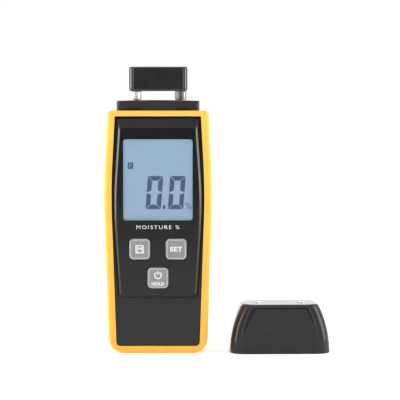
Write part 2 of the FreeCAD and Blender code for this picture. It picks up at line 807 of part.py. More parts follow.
def display_window():
    """Clear window with a flange behind the face."""
    body = new_body("display_window")
    flange = "dims.window_flange"
    sides = (f"-(dims.display_half_width + {flange})", f"dims.display_half_width + {flange}",
             f"dims.display_bottom - {flange}", f"dims.display_top + {flange}")
    front_box(body, "flange", WINDOW_SEAT, "dims.window_flange_thickness", sides)
    boss = front_sketch(body, "boss_outline", "dims.face_forward - dims.window_recess")
    gap = "dims.window_gap"
    add_rounded_rectangle(boss, f"-(dims.display_half_width - {gap})", f"dims.display_half_width - {gap}",
                          f"dims.display_bottom + {gap}", f"dims.display_top - {gap}",
                          f"dims.display_corner_radius - {gap}")
    pad(body, "boss", boss, "dims.display_frame_depth - dims.window_recess", towards_normal=False)


def glass_sides(margin):
    """Sides of a rectangle that stands out from the visible display by a margin."""
    return (f"-(dims.display_half_width + {margin})", f"dims.display_half_width + {margin}",
            f"dims.display_bottom - ({margin})", f"dims.display_top + {margin}")


def lcd_glass():
    body = new_body("lcd_glass")
    front_box(body, "plate", GLASS_FORWARD, "dims.glass_thickness", glass_sides("dims.glass_margin"))


def lcd_backlight():
    body = new_body("lcd_backlight")
    left, right, _, top = glass_sides("dims.glass_margin / 2")
    sides = (left, right, "dims.backlight_bottom", top)
    front_box(body, "plate", GLASS_BACK, "dims.backlight_thickness", sides)


def zebra_connector():
    """Rubber strip that joins the glass to the board."""
    body = new_body("zebra_connector")
    sides = ("-dims.zebra_half_length", "dims.zebra_half_length",
             ZEBRA_BOTTOM, f"{ZEBRA_BOTTOM} + dims.zebra_height")
    front_box(body, "strip", GLASS_BACK, f"{GLASS_BACK} - dims.board_forward", sides)


def lcd_holder():
    """Moulded tray that holds the display stack on the board."""
    body = new_body("lcd_holder")
    outer = glass_sides("dims.glass_margin + dims.holder_wall")
    front_box(body, "tray", "dims.holder_front", "dims.holder_front - dims.board_forward", outer)
    inner = glass_sides("dims.glass_margin + dims.fit_gap")
    front_cut(body, "display_pocket", "dims.holder_front", f"dims.holder_front - {BACKLIGHT_BACK}", inner)
    back = glass_sides("dims.glass_margin - dims.holder_wall")
    front_cut(body, "board_side", "dims.board_forward",
              f"{BACKLIGHT_BACK} - dims.holder_wall - dims.board_forward", back, forwards=True)
    slot = ("-(dims.zebra_half_length + dims.fit_gap)", "dims.zebra_half_length + dims.fit_gap",
            f"{ZEBRA_BOTTOM} - dims.fit_gap", f"{ZEBRA_BOTTOM} + dims.zebra_height + dims.fit_gap")
    front_cut(body, "zebra_slot", "dims.holder_front", "dims.holder_front", slot)


# Keys ------------------------------------------------------------------------------------------


def key(name, x, z):
    """Square key with a stop flange behind the face and a stem towards the board."""
    body = new_body(f"{name}_key")
    half = "dims.key_size / 2"
    cap = front_sketch(body, "cap_outline", "dims.key_forward")
    add_rounded_rectangle(cap, f"-{half}", half, f"-{half}", half, "dims.key_corner_radius")
    flange_front = f"({FACE_INSIDE} - dims.key_flange_clearance)"
    pad(body, "cap", cap, f"dims.key_forward - {flange_front}", towards_normal=False)
    front_plane = -size("key_forward")
    round_edges(body, "rim", "dims.key_edge_radius", lambda edge: on_plane(edge, 1, front_plane))
    reach = f"{half} + dims.key_flange"
    sides = (f"-({reach})", reach, f"-({reach})", reach)
    front_box(body, "flange", flange_front, "dims.key_flange_thickness", sides)
    stem_front = f"({flange_front} - dims.key_flange_thickness)"
    front_posts(body, "stem", stem_front, f"{stem_front} - dims.key_stem_end", "dims.key_stem_diameter",
                [("0", "0")], forwards=False)
    place_body(body, x=x, z=z)


def key_contact(name, x, z):
    """Carbon pill that closes the contact under a key."""
    body = new_body(f"{name}_key_contact")
    front_posts(body, "pill", "dims.key_stem_end", "dims.key_contact_thickness", "dims.key_contact_diameter",
                [("0", "0")], forwards=False)
    place_body(body, x=x, z=z)


def keypad_sheet():
    """Silicone sheet on the board with a hole for each key's contact."""
    body = new_body("keypad_sheet")
    outline = front_sketch(body, "sheet_outline", "dims.board_forward + dims.keypad_thickness")
    add_rounded_rectangle(outline, "-dims.keypad_half_width", "dims.keypad_half_width", "dims.keypad_bottom",
                          "dims.keypad_top", "dims.key_corner_radius")
    pad(body, "sheet", outline, "dims.keypad_thickness", towards_normal=False)
    places = [(x, z) for _, x, z in key_points()]
    front_holes(body, "contact_holes", "dims.board_forward + dims.keypad_thickness", "dims.keypad_thickness",
                "dims.keypad_hole", places)


# Circuit board ---------------------------------------------------------------------------------


def main_board():
    body = new_body("main_board")
    outline = front_sketch(body, "board_outline", "dims.board_forward")
    add_rounded_rectangle(outline, "-dims.board_half_width", "dims.board_half_width", "dims.board_bottom",
                          "dims.board_top", "dims.board_corner_radius")
    pad(body, "board", outline, "dims.board_thickness", towards_normal=False)
    front_holes(body, "screw_holes", "dims.board_forward", "dims.board_thickness", "dims.board_hole",
                board_points())


def board_screws():
    """Four pan-head screws that hold the board to the front shell."""
    body = new_body("board_screws")
    front_posts(body, "heads", BOARD_BACK, "dims.board_screw_head_height", "dims.board_screw_head",
                board_points(), forwards=False)
    front_posts(body, "shanks", BOARD_BACK, "dims.board_screw_length", "dims.board_screw_diameter",
                board_points())


def board_chip(node, half, tall, thick, x, z):
    """A rectangular component on the rear of the board."""
    body = new_body(node)
    sides = (f"-({half})", half, f"-({tall}) / 2", f"({tall}) / 2")
    front_box(body, "package", BOARD_BACK, thick, sides)
    place_body(body, x=x, z=z)


def crystal_can():
    """Metal can of the quartz crystal, with round ends."""
    body = new_body("crystal_can")
    outline = front_sketch(body, "can_outline", BOARD_BACK)
    add_rounded_rectangle(outline, "-dims.crystal_width / 2", "dims.crystal_width / 2",
                          "-dims.crystal_height / 2", "dims.crystal_height / 2",
                          "dims.crystal_height / 2 - dims.fit_gap")
    pad(body, "can", outline, "dims.crystal_thickness", towards_normal=False)
    place_body(body, z="dims.crystal_level")


def capacitor(side, sign):
    """Round capacitor standing on the rear of the board."""
    body = new_body(f"{side}_capacitor")
    front_posts(body, "can", BOARD_BACK, "dims.capacitor_length", "dims.capacitor_diameter", [("0", "0")],
                forwards=False)
    place_body(body, x=f"{sign}dims.capacitor_offset", z="dims.capacitor_level")


def chip_resistors():
    """A row of surface resistors under the capacitors."""
    body = new_body("chip_resistors")
    bottom = "dims.resistor_level - dims.resistor_height / 2"
    for number in range(int(size("resistor_count"))):
        left = (f"({number} - (dims.resistor_count - 1) / 2) * dims.resistor_pitch"
                " - dims.resistor_width / 2")
        sides = (left, f"{left} + dims.resistor_width", bottom, f"{bottom} + dims.resistor_height")
        front_box(body, f"resistor_{number + 1}", BOARD_BACK, "dims.resistor_thickness", sides)


def lead(node, x, start_y, start_z, board_z, upwards):
    """Insulated wire that leaves a contact upright, bends once and runs into the board."""
    body = new_body(node)
    turn = 1 if upwards else -1
    rise, run = 4, 2
    point = FreeCAD.Vector
    circle = Part.Circle(point(-1, turn * rise), point(0, 0, 1), 1)
    quarter = (0, math.pi / 2) if upwards else (-math.pi / 2, 0)
    rise_end, run_end = (1, 2) if upwards else (2, 1)
    level = turn * (rise + 1)
    spine = side_sketch(body, "route", x)
    spine.addGeometry(Part.LineSegment(point(0, 0), point(0, turn * rise)), False)
    spine.addGeometry(Part.ArcOfCircle(circle, *quarter), False)
    spine.addGeometry(Part.LineSegment(point(-1, level), point(-1 - run, level)), False)
    spine.addConstraint(Sketcher.Constraint("Tangent", 0, 2, 1, rise_end))
    spine.addConstraint(Sketcher.Constraint("Tangent", 1, run_end, 2, 1))
    spine.addConstraint(Sketcher.Constraint("Vertical", 0))
    spine.addConstraint(Sketcher.Constraint("Horizontal", 2))
    bind_radius(spine, 1, "dims.lead_bend_radius")
    place_point(spine, 0, 1, start_y, start_z)
    place_point(spine, 2, 2, f"-{BOARD_BACK}", board_z)
    profile = level_sketch(body, "section", start_z)
    add_circle(profile, "dims.lead_diameter", x, start_y)
    pipe = body.newObject("PartDesign::AdditivePipe", f"{body.Name}_wire")
    pipe.Profile = profile
    pipe.Spine = (spine, ["Edge1", "Edge2", "Edge3"])
    doc.recompute()


# Screws, label and battery bay -----------------------------------------------------------------


def case_screws():
    """Four slotted pan-head screws that hold the shells together."""
    body = new_body("case_screws")
    front_posts(body, "heads", f"-{SCREW_HEAD_FLOOR}", "dims.case_screw_head_height", "dims.case_screw_head",
                corner_points(), forwards=False)
    front_posts(body, "shanks", f"-{SCREW_HEAD_FLOOR}", "dims.case_screw_length", "dims.case_screw_diameter",
                corner_points())
    slot_floor = f"-({SCREW_HEAD_FLOOR} + dims.case_screw_head_height - dims.screw_slot_depth)"
    arms = (("across", "dims.screw_slot_length / 2", "dims.screw_slot_width / 2"),
            ("upright", "dims.screw_slot_width / 2", "dims.screw_slot_length / 2"))
    for arm, half_x, half_z in arms:
        sketch = front_sketch(body, f"{arm}_slots", slot_floor)
        for x, z in corner_points():
            add_rectangle(sketch, f"{x} - {half_x}", f"{x} + {half_x}", f"{z} - {half_z}", f"{z} + {half_z}")
        pocket(body, f"{arm}_slot", sketch, "dims.screw_slot_depth")


def rating_label():
    """Blank label in the recess of the rear panel."""
    body = new_body("rating_label")
    gap = "dims.label_gap"
    outline = front_sketch(body, "label_outline", "-(dims.panel_forward - dims.label_recess)")
    add_rounded_rectangle(outline, f"-(dims.label_half_width - {gap})", f"dims.label_half_width - {gap}",
                          f"dims.label_bottom + {gap}", f"dims.label_top - {gap}",
                          "dims.label_corner_radius")
    pad(body, "sheet", outline, "dims.label_thickness", towards_normal=False)


def cell(number, x, nub_up):
    """AAA cell; its nub points up or down."""
    body = new_body(f"battery_{number}")
    half = "dims.cell_diameter / 2"
    shoulder = "dims.cell_length - dims.cell_nub_height"
    nub = "dims.cell_nub_diameter / 2"
    profile = front_sketch(body, "profile", "0")
    add_polygon(profile, [("0", "0"), (half, "0"), (half, shoulder), (nub, shoulder),
                          (nub, "dims.cell_length"), ("0", "dims.cell_length")])
    revolve(body, "can", profile)
    clearance = "dims.contact_thickness + dims.contact_bump"
    if nub_up:
        place_body(body, x=x, y="dims.cell_depth", z=f"dims.bay_top - ({clearance}) - dims.cell_length")
    else:
        body.Placement = FreeCAD.Placement(FreeCAD.Vector(), FreeCAD.Rotation(FreeCAD.Vector(1, 0, 0), 180))
        place_body(body, x=x, y="dims.cell_depth", z=f"dims.bay_bottom + {clearance} + dims.cell_length")


def contact_plate(node, left, right, at_top, bump_x=None, tail_x=None):
    """Sheet-metal contact at one end of the bay, with a bump for a nub and a tail through the floor."""
    body = new_body(node)
    level = "dims.bay_top - dims.contact_thickness" if at_top else "dims.bay_bottom"
    plate = level_sketch(body, "plate_outline", level)
    add_rectangle(plate, left, right, "dims.bay_floor + dims.fit_gap", "dims.contact_back")
    pad(body, "plate", plate, "dims.contact_thickness")
    if bump_x is not None:
        bump_level = level if at_top else "dims.bay_bottom + dims.contact_thickness"
        bump = level_sketch(body, "bump_outline", bump_level)
        add_circle(bump, "dims.contact_bump_diameter", bump_x, "dims.cell_depth")
        pad(body, "bump", bump, "dims.contact_bump", towards_normal=not at_top)
    if tail_x is not None:
        tail = level_sketch(body, "tail_outline", level)
        half = "dims.contact_tail_width / 2"
        add_rectangle(tail, f"{tail_x} - {half}", f"{tail_x} + {half}", "-dims.contact_tail_length",
                      "dims.contact_back / 2")
        pad(body, "tail", tail, "dims.contact_thickness")


def battery_spring(number, x, at_top):
    """Coil spring behind the flat end of a cell."""
    body = new_body(f"battery_spring_{number}")
    travel = ("(dims.bay_top - dims.bay_bottom - dims.cell_length - 2 * dims.contact_thickness"
              " - dims.contact_bump)")
    section = front_sketch(body, "section", "0")
    add_circle(section, "dims.spring_wire", "dims.spring_radius", "dims.spring_wire / 2")
    coil = body.newObject("PartDesign::AdditiveHelix", f"{body.Name}_coil")
    coil.Profile = section
    coil.ReferenceAxis = (section, ["V_Axis"])
    coil.Mode = 0
    coil.setExpression("Pitch", "dims.spring_pitch")
    coil.setExpression("Height", f"{travel} - dims.spring_wire")
    doc.recompute()
    if at_top:
        base = f"dims.bay_top - dims.contact_thickness - {travel}"
    else:
        base = "dims.bay_bottom + dims.contact_thickness"
    place_body(body, x=x, y="dims.cell_depth", z=base)


def battery_door():
    """Door with a rounded lower end, two pivot pins and a ribbed thumb grip."""
    body = new_body("battery_door")
    profile = side_sketch(body, "profile", "-dims.door_half_width")
    point = FreeCAD.Vector
    profile.addGeometry(Part.LineSegment(point(2, 0), point(2, 10)), False)
    profile.addGeometry(Part.LineSegment(point(2, 10), point(0, 10)), False)
    profile.addGeometry(Part.LineSegment(point(0, 10), point(0, 0)), False)
    round_end = Part.ArcOfCircle(Part.Circle(point(1, 0), point(0, 0, 1), 1), math.pi, 2 * math.pi)
    profile.addGeometry(round_end, False)
    profile.addConstraint(Sketcher.Constraint("Coincident", 0, 2, 1, 1))
    profile.addConstraint(Sketcher.Constraint("Coincident", 1, 2, 2, 1))
    profile.addConstraint(Sketcher.Constraint("Tangent", 2, 2, 3, 1))
    profile.addConstraint(Sketcher.Constraint("Tangent", 3, 2, 0, 1))
    profile.addConstraint(Sketcher.Constraint("Vertical", 0))
    profile.addConstraint(Sketcher.Constraint("Vertical", 2))
    place_point(profile, 0, 2, "dims.panel_forward", "dims.door_top")
    place_point(profile, 2, 1, DOOR_INSIDE, "dims.door_top")
    place_along_y(profile, 3, 3, DOOR_AXIS_Z)
    pad(body, "plate", profile, "2 * dims.door_half_width")
    top = size("door_top")
    round_edges(body, "corners", "dims.door_corner_radius",
                lambda edge: runs_along(edge, 1) and on_plane(edge, 2, top))
    pivots = side_sketch(body, "pivot_outline", "-(dims.door_half_width + dims.pivot_length)")
    add_circle(pivots, "dims.pivot_diameter", DOOR_AXIS_Y, DOOR_AXIS_Z)
    pad(body, "pivots", pivots, "2 * (dims.door_half_width + dims.pivot_length)")
    for rib in range(int(size("grip_count"))):
        z = f"(dims.grip_top - {rib} * dims.grip_pitch)"
        sides = ("-dims.grip_half_length", "dims.grip_half_length", f"{z} - dims.grip_width / 2",
                 f"{z} + dims.grip_width / 2")
        front_box(body, f"grip_rib_{rib + 1}", "-dims.panel_forward", "dims.grip_proud", sides)


def door_foam_pad():
    """Foam strip inside the door that keeps the cells quiet."""
    body = new_body("door_foam_pad")
    sides = ("-dims.foam_half_width", "dims.foam_half_width", "dims.foam_bottom", "dims.foam_top")
    front_box(body, "pad", f"-({DOOR_INSIDE} - dims.foam_thickness)", "dims.foam_thickness", sides)


# Head, pins, nuts and guard --------------------------------------------------------------------


def head_block():
    """Insulating block that carries both electrodes out through the top of the case."""
    body = new_body("head_block")
    flange = level_sketch(body, "flange_outline", "dims.head_flange_bottom")
    add_rectangle(flange, "-dims.head_flange_half_width", "dims.head_flange_half_width",
                  "-dims.head_flange_half_depth", "dims.head_flange_half_depth")
    pad(body, "flange", flange, "dims.head_flange_top - dims.head_flange_bottom")
    neck = front_sketch(body, "neck_outline", "dims.head_half_depth")
    half = size("head_half_width")
    point = FreeCAD.Vector
    bottom, side, crown = size("head_flange_bottom"), size("head_side_top"), size("head_crown_top")
    neck.addGeometry(Part.LineSegment(point(-half, bottom), point(half, bottom)), False)
    neck.addGeometry(Part.LineSegment(point(half, bottom), point(half, side)), False)
    neck.addGeometry(Part.Arc(point(half, side), point(0, crown), point(-half, side)), False)
    neck.addGeometry(Part.LineSegment(point(-half, side), point(-half, bottom)), False)
    for i in range(4):
        neck.addConstraint(Sketcher.Constraint("Coincident", i, 2, (i + 1) % 4, 1))
    place_point(neck, 0, 1, "-dims.head_half_width", "dims.head_flange_bottom")
    place_point(neck, 0, 2, "dims.head_half_width", "dims.head_flange_bottom")
    place_point(neck, 2, 1, "dims.head_half_width", "dims.head_side_top")
    place_point(neck, 2, 2, "-dims.head_half_width", "dims.head_side_top")
    rise = "(dims.head_crown_top - dims.head_side_top)"
    bind_radius(neck, 2, f"(dims.head_half_width ^ 2 + {rise} ^ 2) / (2 * {rise})")
    pad(body, "neck", neck, "2 * dims.head_half_depth", towards_normal=False)
    flange_top = size("head_flange_top")
    round_edges(body, "corners", "dims.head_corner_radius",
                lambda edge: runs_along(edge, 2) and edge.BoundBox.ZMin > flange_top - PICK_SLACK)
    round_edges(body, "rim", "dims.head_edge_radius", lambda edge: edge.BoundBox.ZMin > side - PICK_SLACK)
    tongue = front_sketch(body, "tongue_outline", "dims.head_half_depth + dims.head_tongue_proud")
    add_rectangle(tongue, "-dims.head_tongue_half", "dims.head_tongue_half",
                  "dims.body_height + dims.fit_gap", "dims.head_tongue_top")
    pad(body, "tongue", tongue, "dims.head_tongue_proud + dims.wall", towards_normal=False)
    for side_name, sign in SIDES:
        notch_x = f"({sign}dims.head_notch_centre)"
        sides = (f"{notch_x} - dims.head_notch_half", f"{notch_x} + dims.head_notch_half",
                 "dims.body_height", "dims.body_height + dims.head_notch_height")
        front_cut(body, f"{side_name}_notch", "dims.head_half_depth + dims.overcut",
                  "dims.head_notch_depth + dims.overcut", sides)
    bores = level_sketch(body, "bore_outline", "dims.head_crown_top + dims.overcut")
    for _, sign in SIDES:
        add_circle(bores, "dims.stud_shaft_diameter", f"{sign}dims.pin_offset", "0")
    pocket(body, "bores", bores, "dims.head_crown_top - dims.head_flange_bottom + 2 * dims.overcut")


def electrode_stud(side, sign):
    """Brass stud with a collar under the block, a thread for the nut and a bore for the pin."""
    body = new_body(f"{side}_electrode_stud")
    tail = "dims.stud_tail_diameter / 2"
    collar = "dims.stud_collar_diameter / 2"
    shaft = "dims.stud_shaft_diameter / 2"
    thread = "dims.stud_thread_diameter / 2"
    bore = "dims.pin_diameter / 2"
    collar_bottom = "dims.head_flange_bottom - dims.stud_collar_height"
    profile = front_sketch(body, "profile", "0")
    add_polygon(profile, [("0", "dims.stud_bottom"), (tail, "dims.stud_bottom"), (tail, collar_bottom),
                          (collar, collar_bottom), (collar, "dims.head_flange_bottom"),
                          (shaft, "dims.head_flange_bottom"), (shaft, "dims.stud_shoulder"),
                          (thread, "dims.stud_shoulder"), (thread, "dims.stud_top"), (bore, "dims.stud_top"),
                          (bore, "dims.pin_bottom"), ("0", "dims.pin_bottom")])
    revolve(body, "stud", profile)
    place_body(body, x=f"{sign}dims.pin_offset")


def measuring_pin(side, sign):
    """Steel needle with a long conical point."""
    body = new_body(f"{side}_pin")
    radius = "dims.pin_diameter / 2"
    profile = front_sketch(body, "profile", "0")
    add_polygon(profile, [("0", "dims.pin_bottom"), (radius, "dims.pin_bottom"),
                          (radius, "dims.pin_top - dims.pin_cone"), ("0", "dims.pin_top")])
    revolve(body, "needle", profile)
    place_body(body, x=f"{sign}dims.pin_offset")


def pin_nut(side, sign):
    """Knurled cap nut that clamps a measuring pin."""
    body = new_body(f"{side}_pin_nut")
    outer = "dims.nut_diameter / 2"
    bore = "dims.nut_bore / 2"
    mouth = "dims.nut_mouth / 2"
    chamfer = "dims.nut_chamfer"
    profile = front_sketch(body, "profile", "0")
    add_polygon(profile, [(bore, "dims.nut_bottom"), (f"{outer} - {chamfer}", "dims.nut_bottom"),
                          (outer, f"dims.nut_bottom + {chamfer}"), (outer, f"dims.nut_top - {chamfer}"),
                          (f"{outer} - {chamfer}", "dims.nut_top"), (mouth, "dims.nut_top"),
                          (mouth, "dims.nut_bore_top"), (bore, "dims.nut_bore_top")])
    revolve(body, "nut", profile)
    groove = level_sketch(body, "groove_outline", "dims.nut_bottom - dims.overcut")
    mouth_x = f"{outer} + dims.fit_gap"
    add_polygon(groove, [(f"{outer} - dims.knurl_depth", "0"), (mouth_x, "-dims.knurl_width / 2"),
                         (mouth_x, "dims.knurl_width / 2")])
    cut = pocket(body, "groove", groove, "dims.nut_top - dims.nut_bottom + 2 * dims.overcut",
                 towards_normal=True)
    knurl = body.newObject("PartDesign::PolarPattern", f"{body.Name}_knurl")
    knurl.Originals = [cut]
    knurl.Axis = (groove, ["N_Axis"])
    knurl.Angle = 360
    knurl.setExpression("Occurrences", "dims.knurl_count")
    body.Tip = knurl
    doc.recompute()
    place_body(body, x=f"{sign}dims.pin_offset")


def pin_guard():
    """Block with two blind holes that covers the points of the pins."""
    body = new_body("pin_guard")
    outline = level_sketch(body, "block_outline", "dims.guard_bottom")
    add_rounded_rectangle(outline, "-dims.guard_half_width", "dims.guard_half_width",
                          "-dims.guard_half_depth", "dims.guard_half_depth", "dims.guard_corner_radius")
    pad(body, "block", outline, "dims.guard_top - dims.guard_bottom")
    bottom, top = size("guard_bottom"), size("guard_top")
    round_edges(body, "edges", "dims.guard_edge_radius",
                lambda edge: on_plane(edge, 2, bottom) or on_plane(edge, 2, top))
    holes = level_sketch(body, "hole_outline", "dims.guard_bottom")
    for _, sign in SIDES:
        add_circle(holes, "dims.guard_hole", f"{sign}dims.pin_offset", "0")
    pocket(body, "holes", holes, "dims.guard_hole_depth", towards_normal=True)


# Cap -------------------------------------------------------------------------------------------


def cap_profile(body):
    """Front view of the cap: its sides stand upright at the mouth and curve inwards as they rise."""
    sketch = front_sketch(body, "profile", "dims.cap_half_depth")
    upright = "sqrt(dims.cap_side_radius ^ 2 - dims.cap_height ^ 2)"
    crown = f"(dims.cap_half_width - dims.cap_side_radius + {upright})"
    drawn_taper, drawn_bulge = 6, 1.2
    half, top = size("cap_half_width"), size("cap_height")
    narrow = half - drawn_taper
    belly = (half + narrow) / 2 + drawn_bulge
    point = FreeCAD.Vector
    outline = (
        Part.LineSegment(point(-half, 0), point(half, 0)),
        Part.Arc(point(half, 0), point(belly, top / 2), point(narrow, top)),
        Part.LineSegment(point(narrow, top), point(-narrow, top)),
        Part.Arc(point(-narrow, top), point(-belly, top / 2), point(-half, 0)),
    )
    for geometry in outline:
        sketch.addGeometry(geometry, False)
    for i in range(4):
        sketch.addConstraint(Sketcher.Constraint("Coincident", i, 2, (i + 1) % 4, 1))
    place_point(sketch, 0, 1, "-dims.cap_half_width", "0")
    place_point(sketch, 0, 2, "dims.cap_half_width", "0")
    place_point(sketch, 2, 1, crown, "dims.cap_height")
    place_point(sketch, 2, 2, f"-{crown}", "dims.cap_height")
    for arc in (1, 3):
        bind_radius(sketch, arc, "dims.cap_side_radius")
    return sketch


def hollow_out(body, name, wall):
    """Leave an even wall behind every face but the one that the body stands on."""
    base = body.Tip
    open_faces = [f"Face{i}" for i, face in enumerate(base.Shape.Faces, start=1)
                  if face.BoundBox.ZMax < PICK_SLACK]
    feature = body.newObject("PartDesign::Thickness", f"{body.Name}_{name}")
    feature.Base = (base, open_faces)
    feature.setExpression("Value", wall)
    feature.Reversed = True
    doc.recompute()


def cap():
    """Protective cap, open at the bottom."""
    body = new_body("cap")
    pad(body, "outside", cap_profile(body), "2 * dims.cap_half_depth", towards_normal=False)
    front, top = size("cap_half_depth"), size("cap_height")

    def is_corner(edge):
        flat = on_plane(edge, 1, -front) or on_plane(edge, 1, front)
        return flat and edge.BoundBox.ZLength > top / 2

    round_edges(body, "corners", "dims.cap_corner_radius", is_corner)
    round_edges(body, "top_edge", "dims.cap_top_edge_radius", lambda edge: on_plane(edge, 2, top))
    hollow_out(body, "inside", "dims.cap_wall")
    round_edges(body, "mouth_edge", "dims.cap_mouth_edge_radius", lambda edge: on_plane(edge, 2, 0))
    seat_depth = "(dims.check_contact_height - dims.check_contact_proud)"
    for name, diameter, depth in (("contact_seats", "dims.check_contact_diameter", seat_depth),
                                  ("stem_holes", "dims.check_stem_diameter", "dims.cap_wall")):
        holes = level_sketch(body, f"{name}_outline", "dims.cap_height")
        for _, sign in SIDES:
            add_circle(holes, diameter, f"{sign}dims.pin_offset", "0")
        pocket(body, name, holes, depth)
    place_body(body, x="dims.cap_x", y="-dims.cap_forward")
    body.setExpression("Placement.Rotation.Angle", "dims.cap_turn * 1 deg")


def check_contact(side, sign):
    """Metal rivet on top of the cap on which a pin is tested."""
    side_sign = "-" if sign else "+"
    body = new_body(f"{side}_check_contact")
    head = "dims.check_contact_diameter / 2"
    stem = "dims.check_stem_diameter / 2"
    top = "dims.cap_height + dims.check_contact_proud"
    seat = f"{top} - dims.check_contact_height"
    stem_end = f"{seat} - dims.check_stem_length"
    profile = front_sketch(body, "profile", "0")
    add_polygon(profile, [("0", stem_end), (stem, stem_end), (stem, seat), (head, seat), (head, top),
                          ("0", top)])
    revolve(body, "rivet", profile)
    place_body(body, x=f"dims.cap_x {side_sign} dims.pin_offset * cos(dims.cap_turn * 1 deg)",
               y=f"-dims.cap_forward {side_sign} dims.pin_offset * sin(dims.cap_turn * 1 deg)")


# The assembly ----------------------------------------------------------------------------------


def build_case():
    bumper_frame()
    front_shell()
    rear_shell()
    case_screws()
    rating_label()


def build_display():
    display_window()
    lcd_glass()
    lcd_backlight()
    zebra_connector()
    lcd_holder()


def build_keys():
    for name, x, z in key_points():
        key(name, x, z)
        key_contact(name, x, z)
    keypad_sheet()


def build_board():
    main_board()
    board_screws()
    board_chip("microcontroller", "dims.chip_size / 2", "dims.chip_size", "dims.chip_thickness", "0",
               "dims.chip_height")
    crystal_can()
    for side, sign in SIDES:
        capacitor(side, sign)
    chip_resistors()


def build_battery_bay():
    pitch = "dims.cell_pitch"
    half = "dims.contact_half_width"
    for number, x, nub_up in ((1, f"-{pitch}", True), (2, "0", False), (3, pitch, True)):
        cell(number, x, nub_up)
        battery_spring(number, x, at_top=not nub_up)
    contact_plate("upper_link_contact", f"-{pitch} - {half}", half, True, bump_x=f"-{pitch}")
    contact_plate("lower_link_contact", f"-{half}", f"{pitch} + {half}", False, bump_x="0")
    contact_plate("negative_contact", f"-{pitch} - {half}", f"-{pitch} + {half}", False, tail_x=f"-{pitch}")
    contact_plate("positive_contact", f"{pitch} - {half}", f"{pitch} + {half}", True, bump_x=pitch,
                  tail_x=pitch)
    battery_door()
    door_foam_pad()


def build_head():
    head_block()
    for side, sign in SIDES:
        electrode_stud(side, sign)
        measuring_pin(side, sign)
        pin_nut(side, sign)
    pin_guard()


def build_leads():
    for side, sign in SIDES:
        lead(f"{side}_probe_lead", f"{sign}dims.pin_offset", "0", "dims.stud_bottom",
             "dims.stud_bottom - dims.lead_run", upwards=False)
    tail_y = "-(dims.contact_tail_length - dims.lead_diameter / 2)"
    tail_top = "(dims.bay_bottom + dims.contact_thickness)"
    tail_underside = "(dims.bay_top - dims.contact_thickness)"
    lead("negative_lead", "-dims.cell_pitch", tail_y, tail_top, f"{tail_top} + dims.lead_run", upwards=True)
    lead("positive_lead", "dims.cell_pitch", tail_y, tail_underside, f"{tail_underside} - dims.lead_run",
         upwards=False)


def build_cap():
    cap()
    for side, sign in SIDES:
        check_contact(side, sign)


def check_document():
    """Stop if any object failed or any sub-part isn't one valid shape."""
    failed = [item.Name for item in doc.Objects if "Invalid" in item.State or "Error" in item.State]
    for body in sub_parts:
        if body.Shape.isNull() or not body.Shape.isValid():
            failed.append(body.Label)
    if failed:
        raise RuntimeError("failed: " + ", ".join(failed))


def export():
    os.makedirs("parts", exist_ok=True)
    for body in sub_parts:
        body.Shape.exportStep(f"parts/{body.Label}.step")


fill_sheet()
for build in (build_case, build_display, build_keys, build_board, build_battery_bay, build_head, build_leads,
              build_cap):
    build()
doc.recompute()
check_document()
export()
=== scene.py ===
import math
import bpy
from mathutils import Matrix, Vector


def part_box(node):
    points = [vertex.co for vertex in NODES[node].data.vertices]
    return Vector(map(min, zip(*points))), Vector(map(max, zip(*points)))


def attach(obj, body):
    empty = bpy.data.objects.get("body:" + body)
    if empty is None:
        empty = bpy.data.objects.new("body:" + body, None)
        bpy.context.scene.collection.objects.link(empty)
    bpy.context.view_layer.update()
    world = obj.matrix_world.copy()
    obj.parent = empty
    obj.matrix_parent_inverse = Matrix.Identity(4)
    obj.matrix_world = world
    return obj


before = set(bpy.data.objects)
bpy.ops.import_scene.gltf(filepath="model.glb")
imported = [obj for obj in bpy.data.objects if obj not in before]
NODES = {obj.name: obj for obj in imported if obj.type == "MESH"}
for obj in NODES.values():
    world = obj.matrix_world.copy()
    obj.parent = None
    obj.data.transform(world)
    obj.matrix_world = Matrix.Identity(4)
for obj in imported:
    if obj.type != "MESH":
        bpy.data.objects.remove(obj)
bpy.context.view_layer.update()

MM = 0.001

# Colour sockets of a Mix node, which has others for its other kinds of data.
MIX_FIRST = 6
MIX_SECOND = 7
MIX_RESULT = 2

# Print: the thickness of a layer of ink, the steps in a round corner and in an arc, and half the
# thickness that a filled outline has before it is scaled to its layer's.
INK = 0.03 * MM
CORNER_STEPS = 5
ARC_STEPS = 40
HALF_LAYER = 0.5

# The reading, in millimetres from the middle of the display. A box is left, right, bottom, top.
DIGIT_WIDTH = 8.5
DIGIT_HEIGHT = 18.3
DIGIT_BOTTOM = -16.25
DIGIT_LEFTS = (-6.9, 5.5)
DIGIT_SLANT = math.tan(math.radians(4.3))
SEGMENT_THICKNESS = 2.5
SEGMENT_GAP = 0.22
SEGMENT_BEVEL = 0.45 * SEGMENT_THICKNESS
POINT_BOX = (2.65, 4.15, -16.2, -14.1)
MARK_BOX = (-16.75, -13.65, 6.05, 9.65)
MARK_RADIUS = 0.3

# Looks: specks of dust on polished plastic, bands round a cell, and tracks on the circuit board.
DUST_SPACING = 2.6 * MM
DUST_SIZE = 0.045
DUST_STRENGTH = 0.25
DUST_GREY = (0.16, 0.16, 0.16)
BAND_SPACING = 11 * MM
BAND_EDGE = (9.2 * MM, 9.6 * MM)
TRACKS_PER_METRE = 220.0
TRACK_WIDTH = 0.06

# Keys: the rim's sides from the key's middle in millimetres, where the painted highlight on the key's
# face starts, the rim's height, and the keys' colours, the palest of them a painted highlight.
RIM_OUTSIDE = 5.1
RIM_INSIDE = 4.6
PAINTED_HIGHLIGHT_START = 4.4
RIM_HEIGHT = 0.12 * MM
KEY_DARK = (0.215, 0.224, 0.223)
KEY_LIGHT = (0.265, 0.274, 0.273)
KEY_PAINTED_HIGHLIGHT = (0.385, 0.395, 0.395)

# Rear label and legend, in millimetres.
LABEL_MARGIN = 1.4
BORDER_WIDTH = 0.25
RULE_MARGIN = 2.0
LEGEND_DROP = 2.15

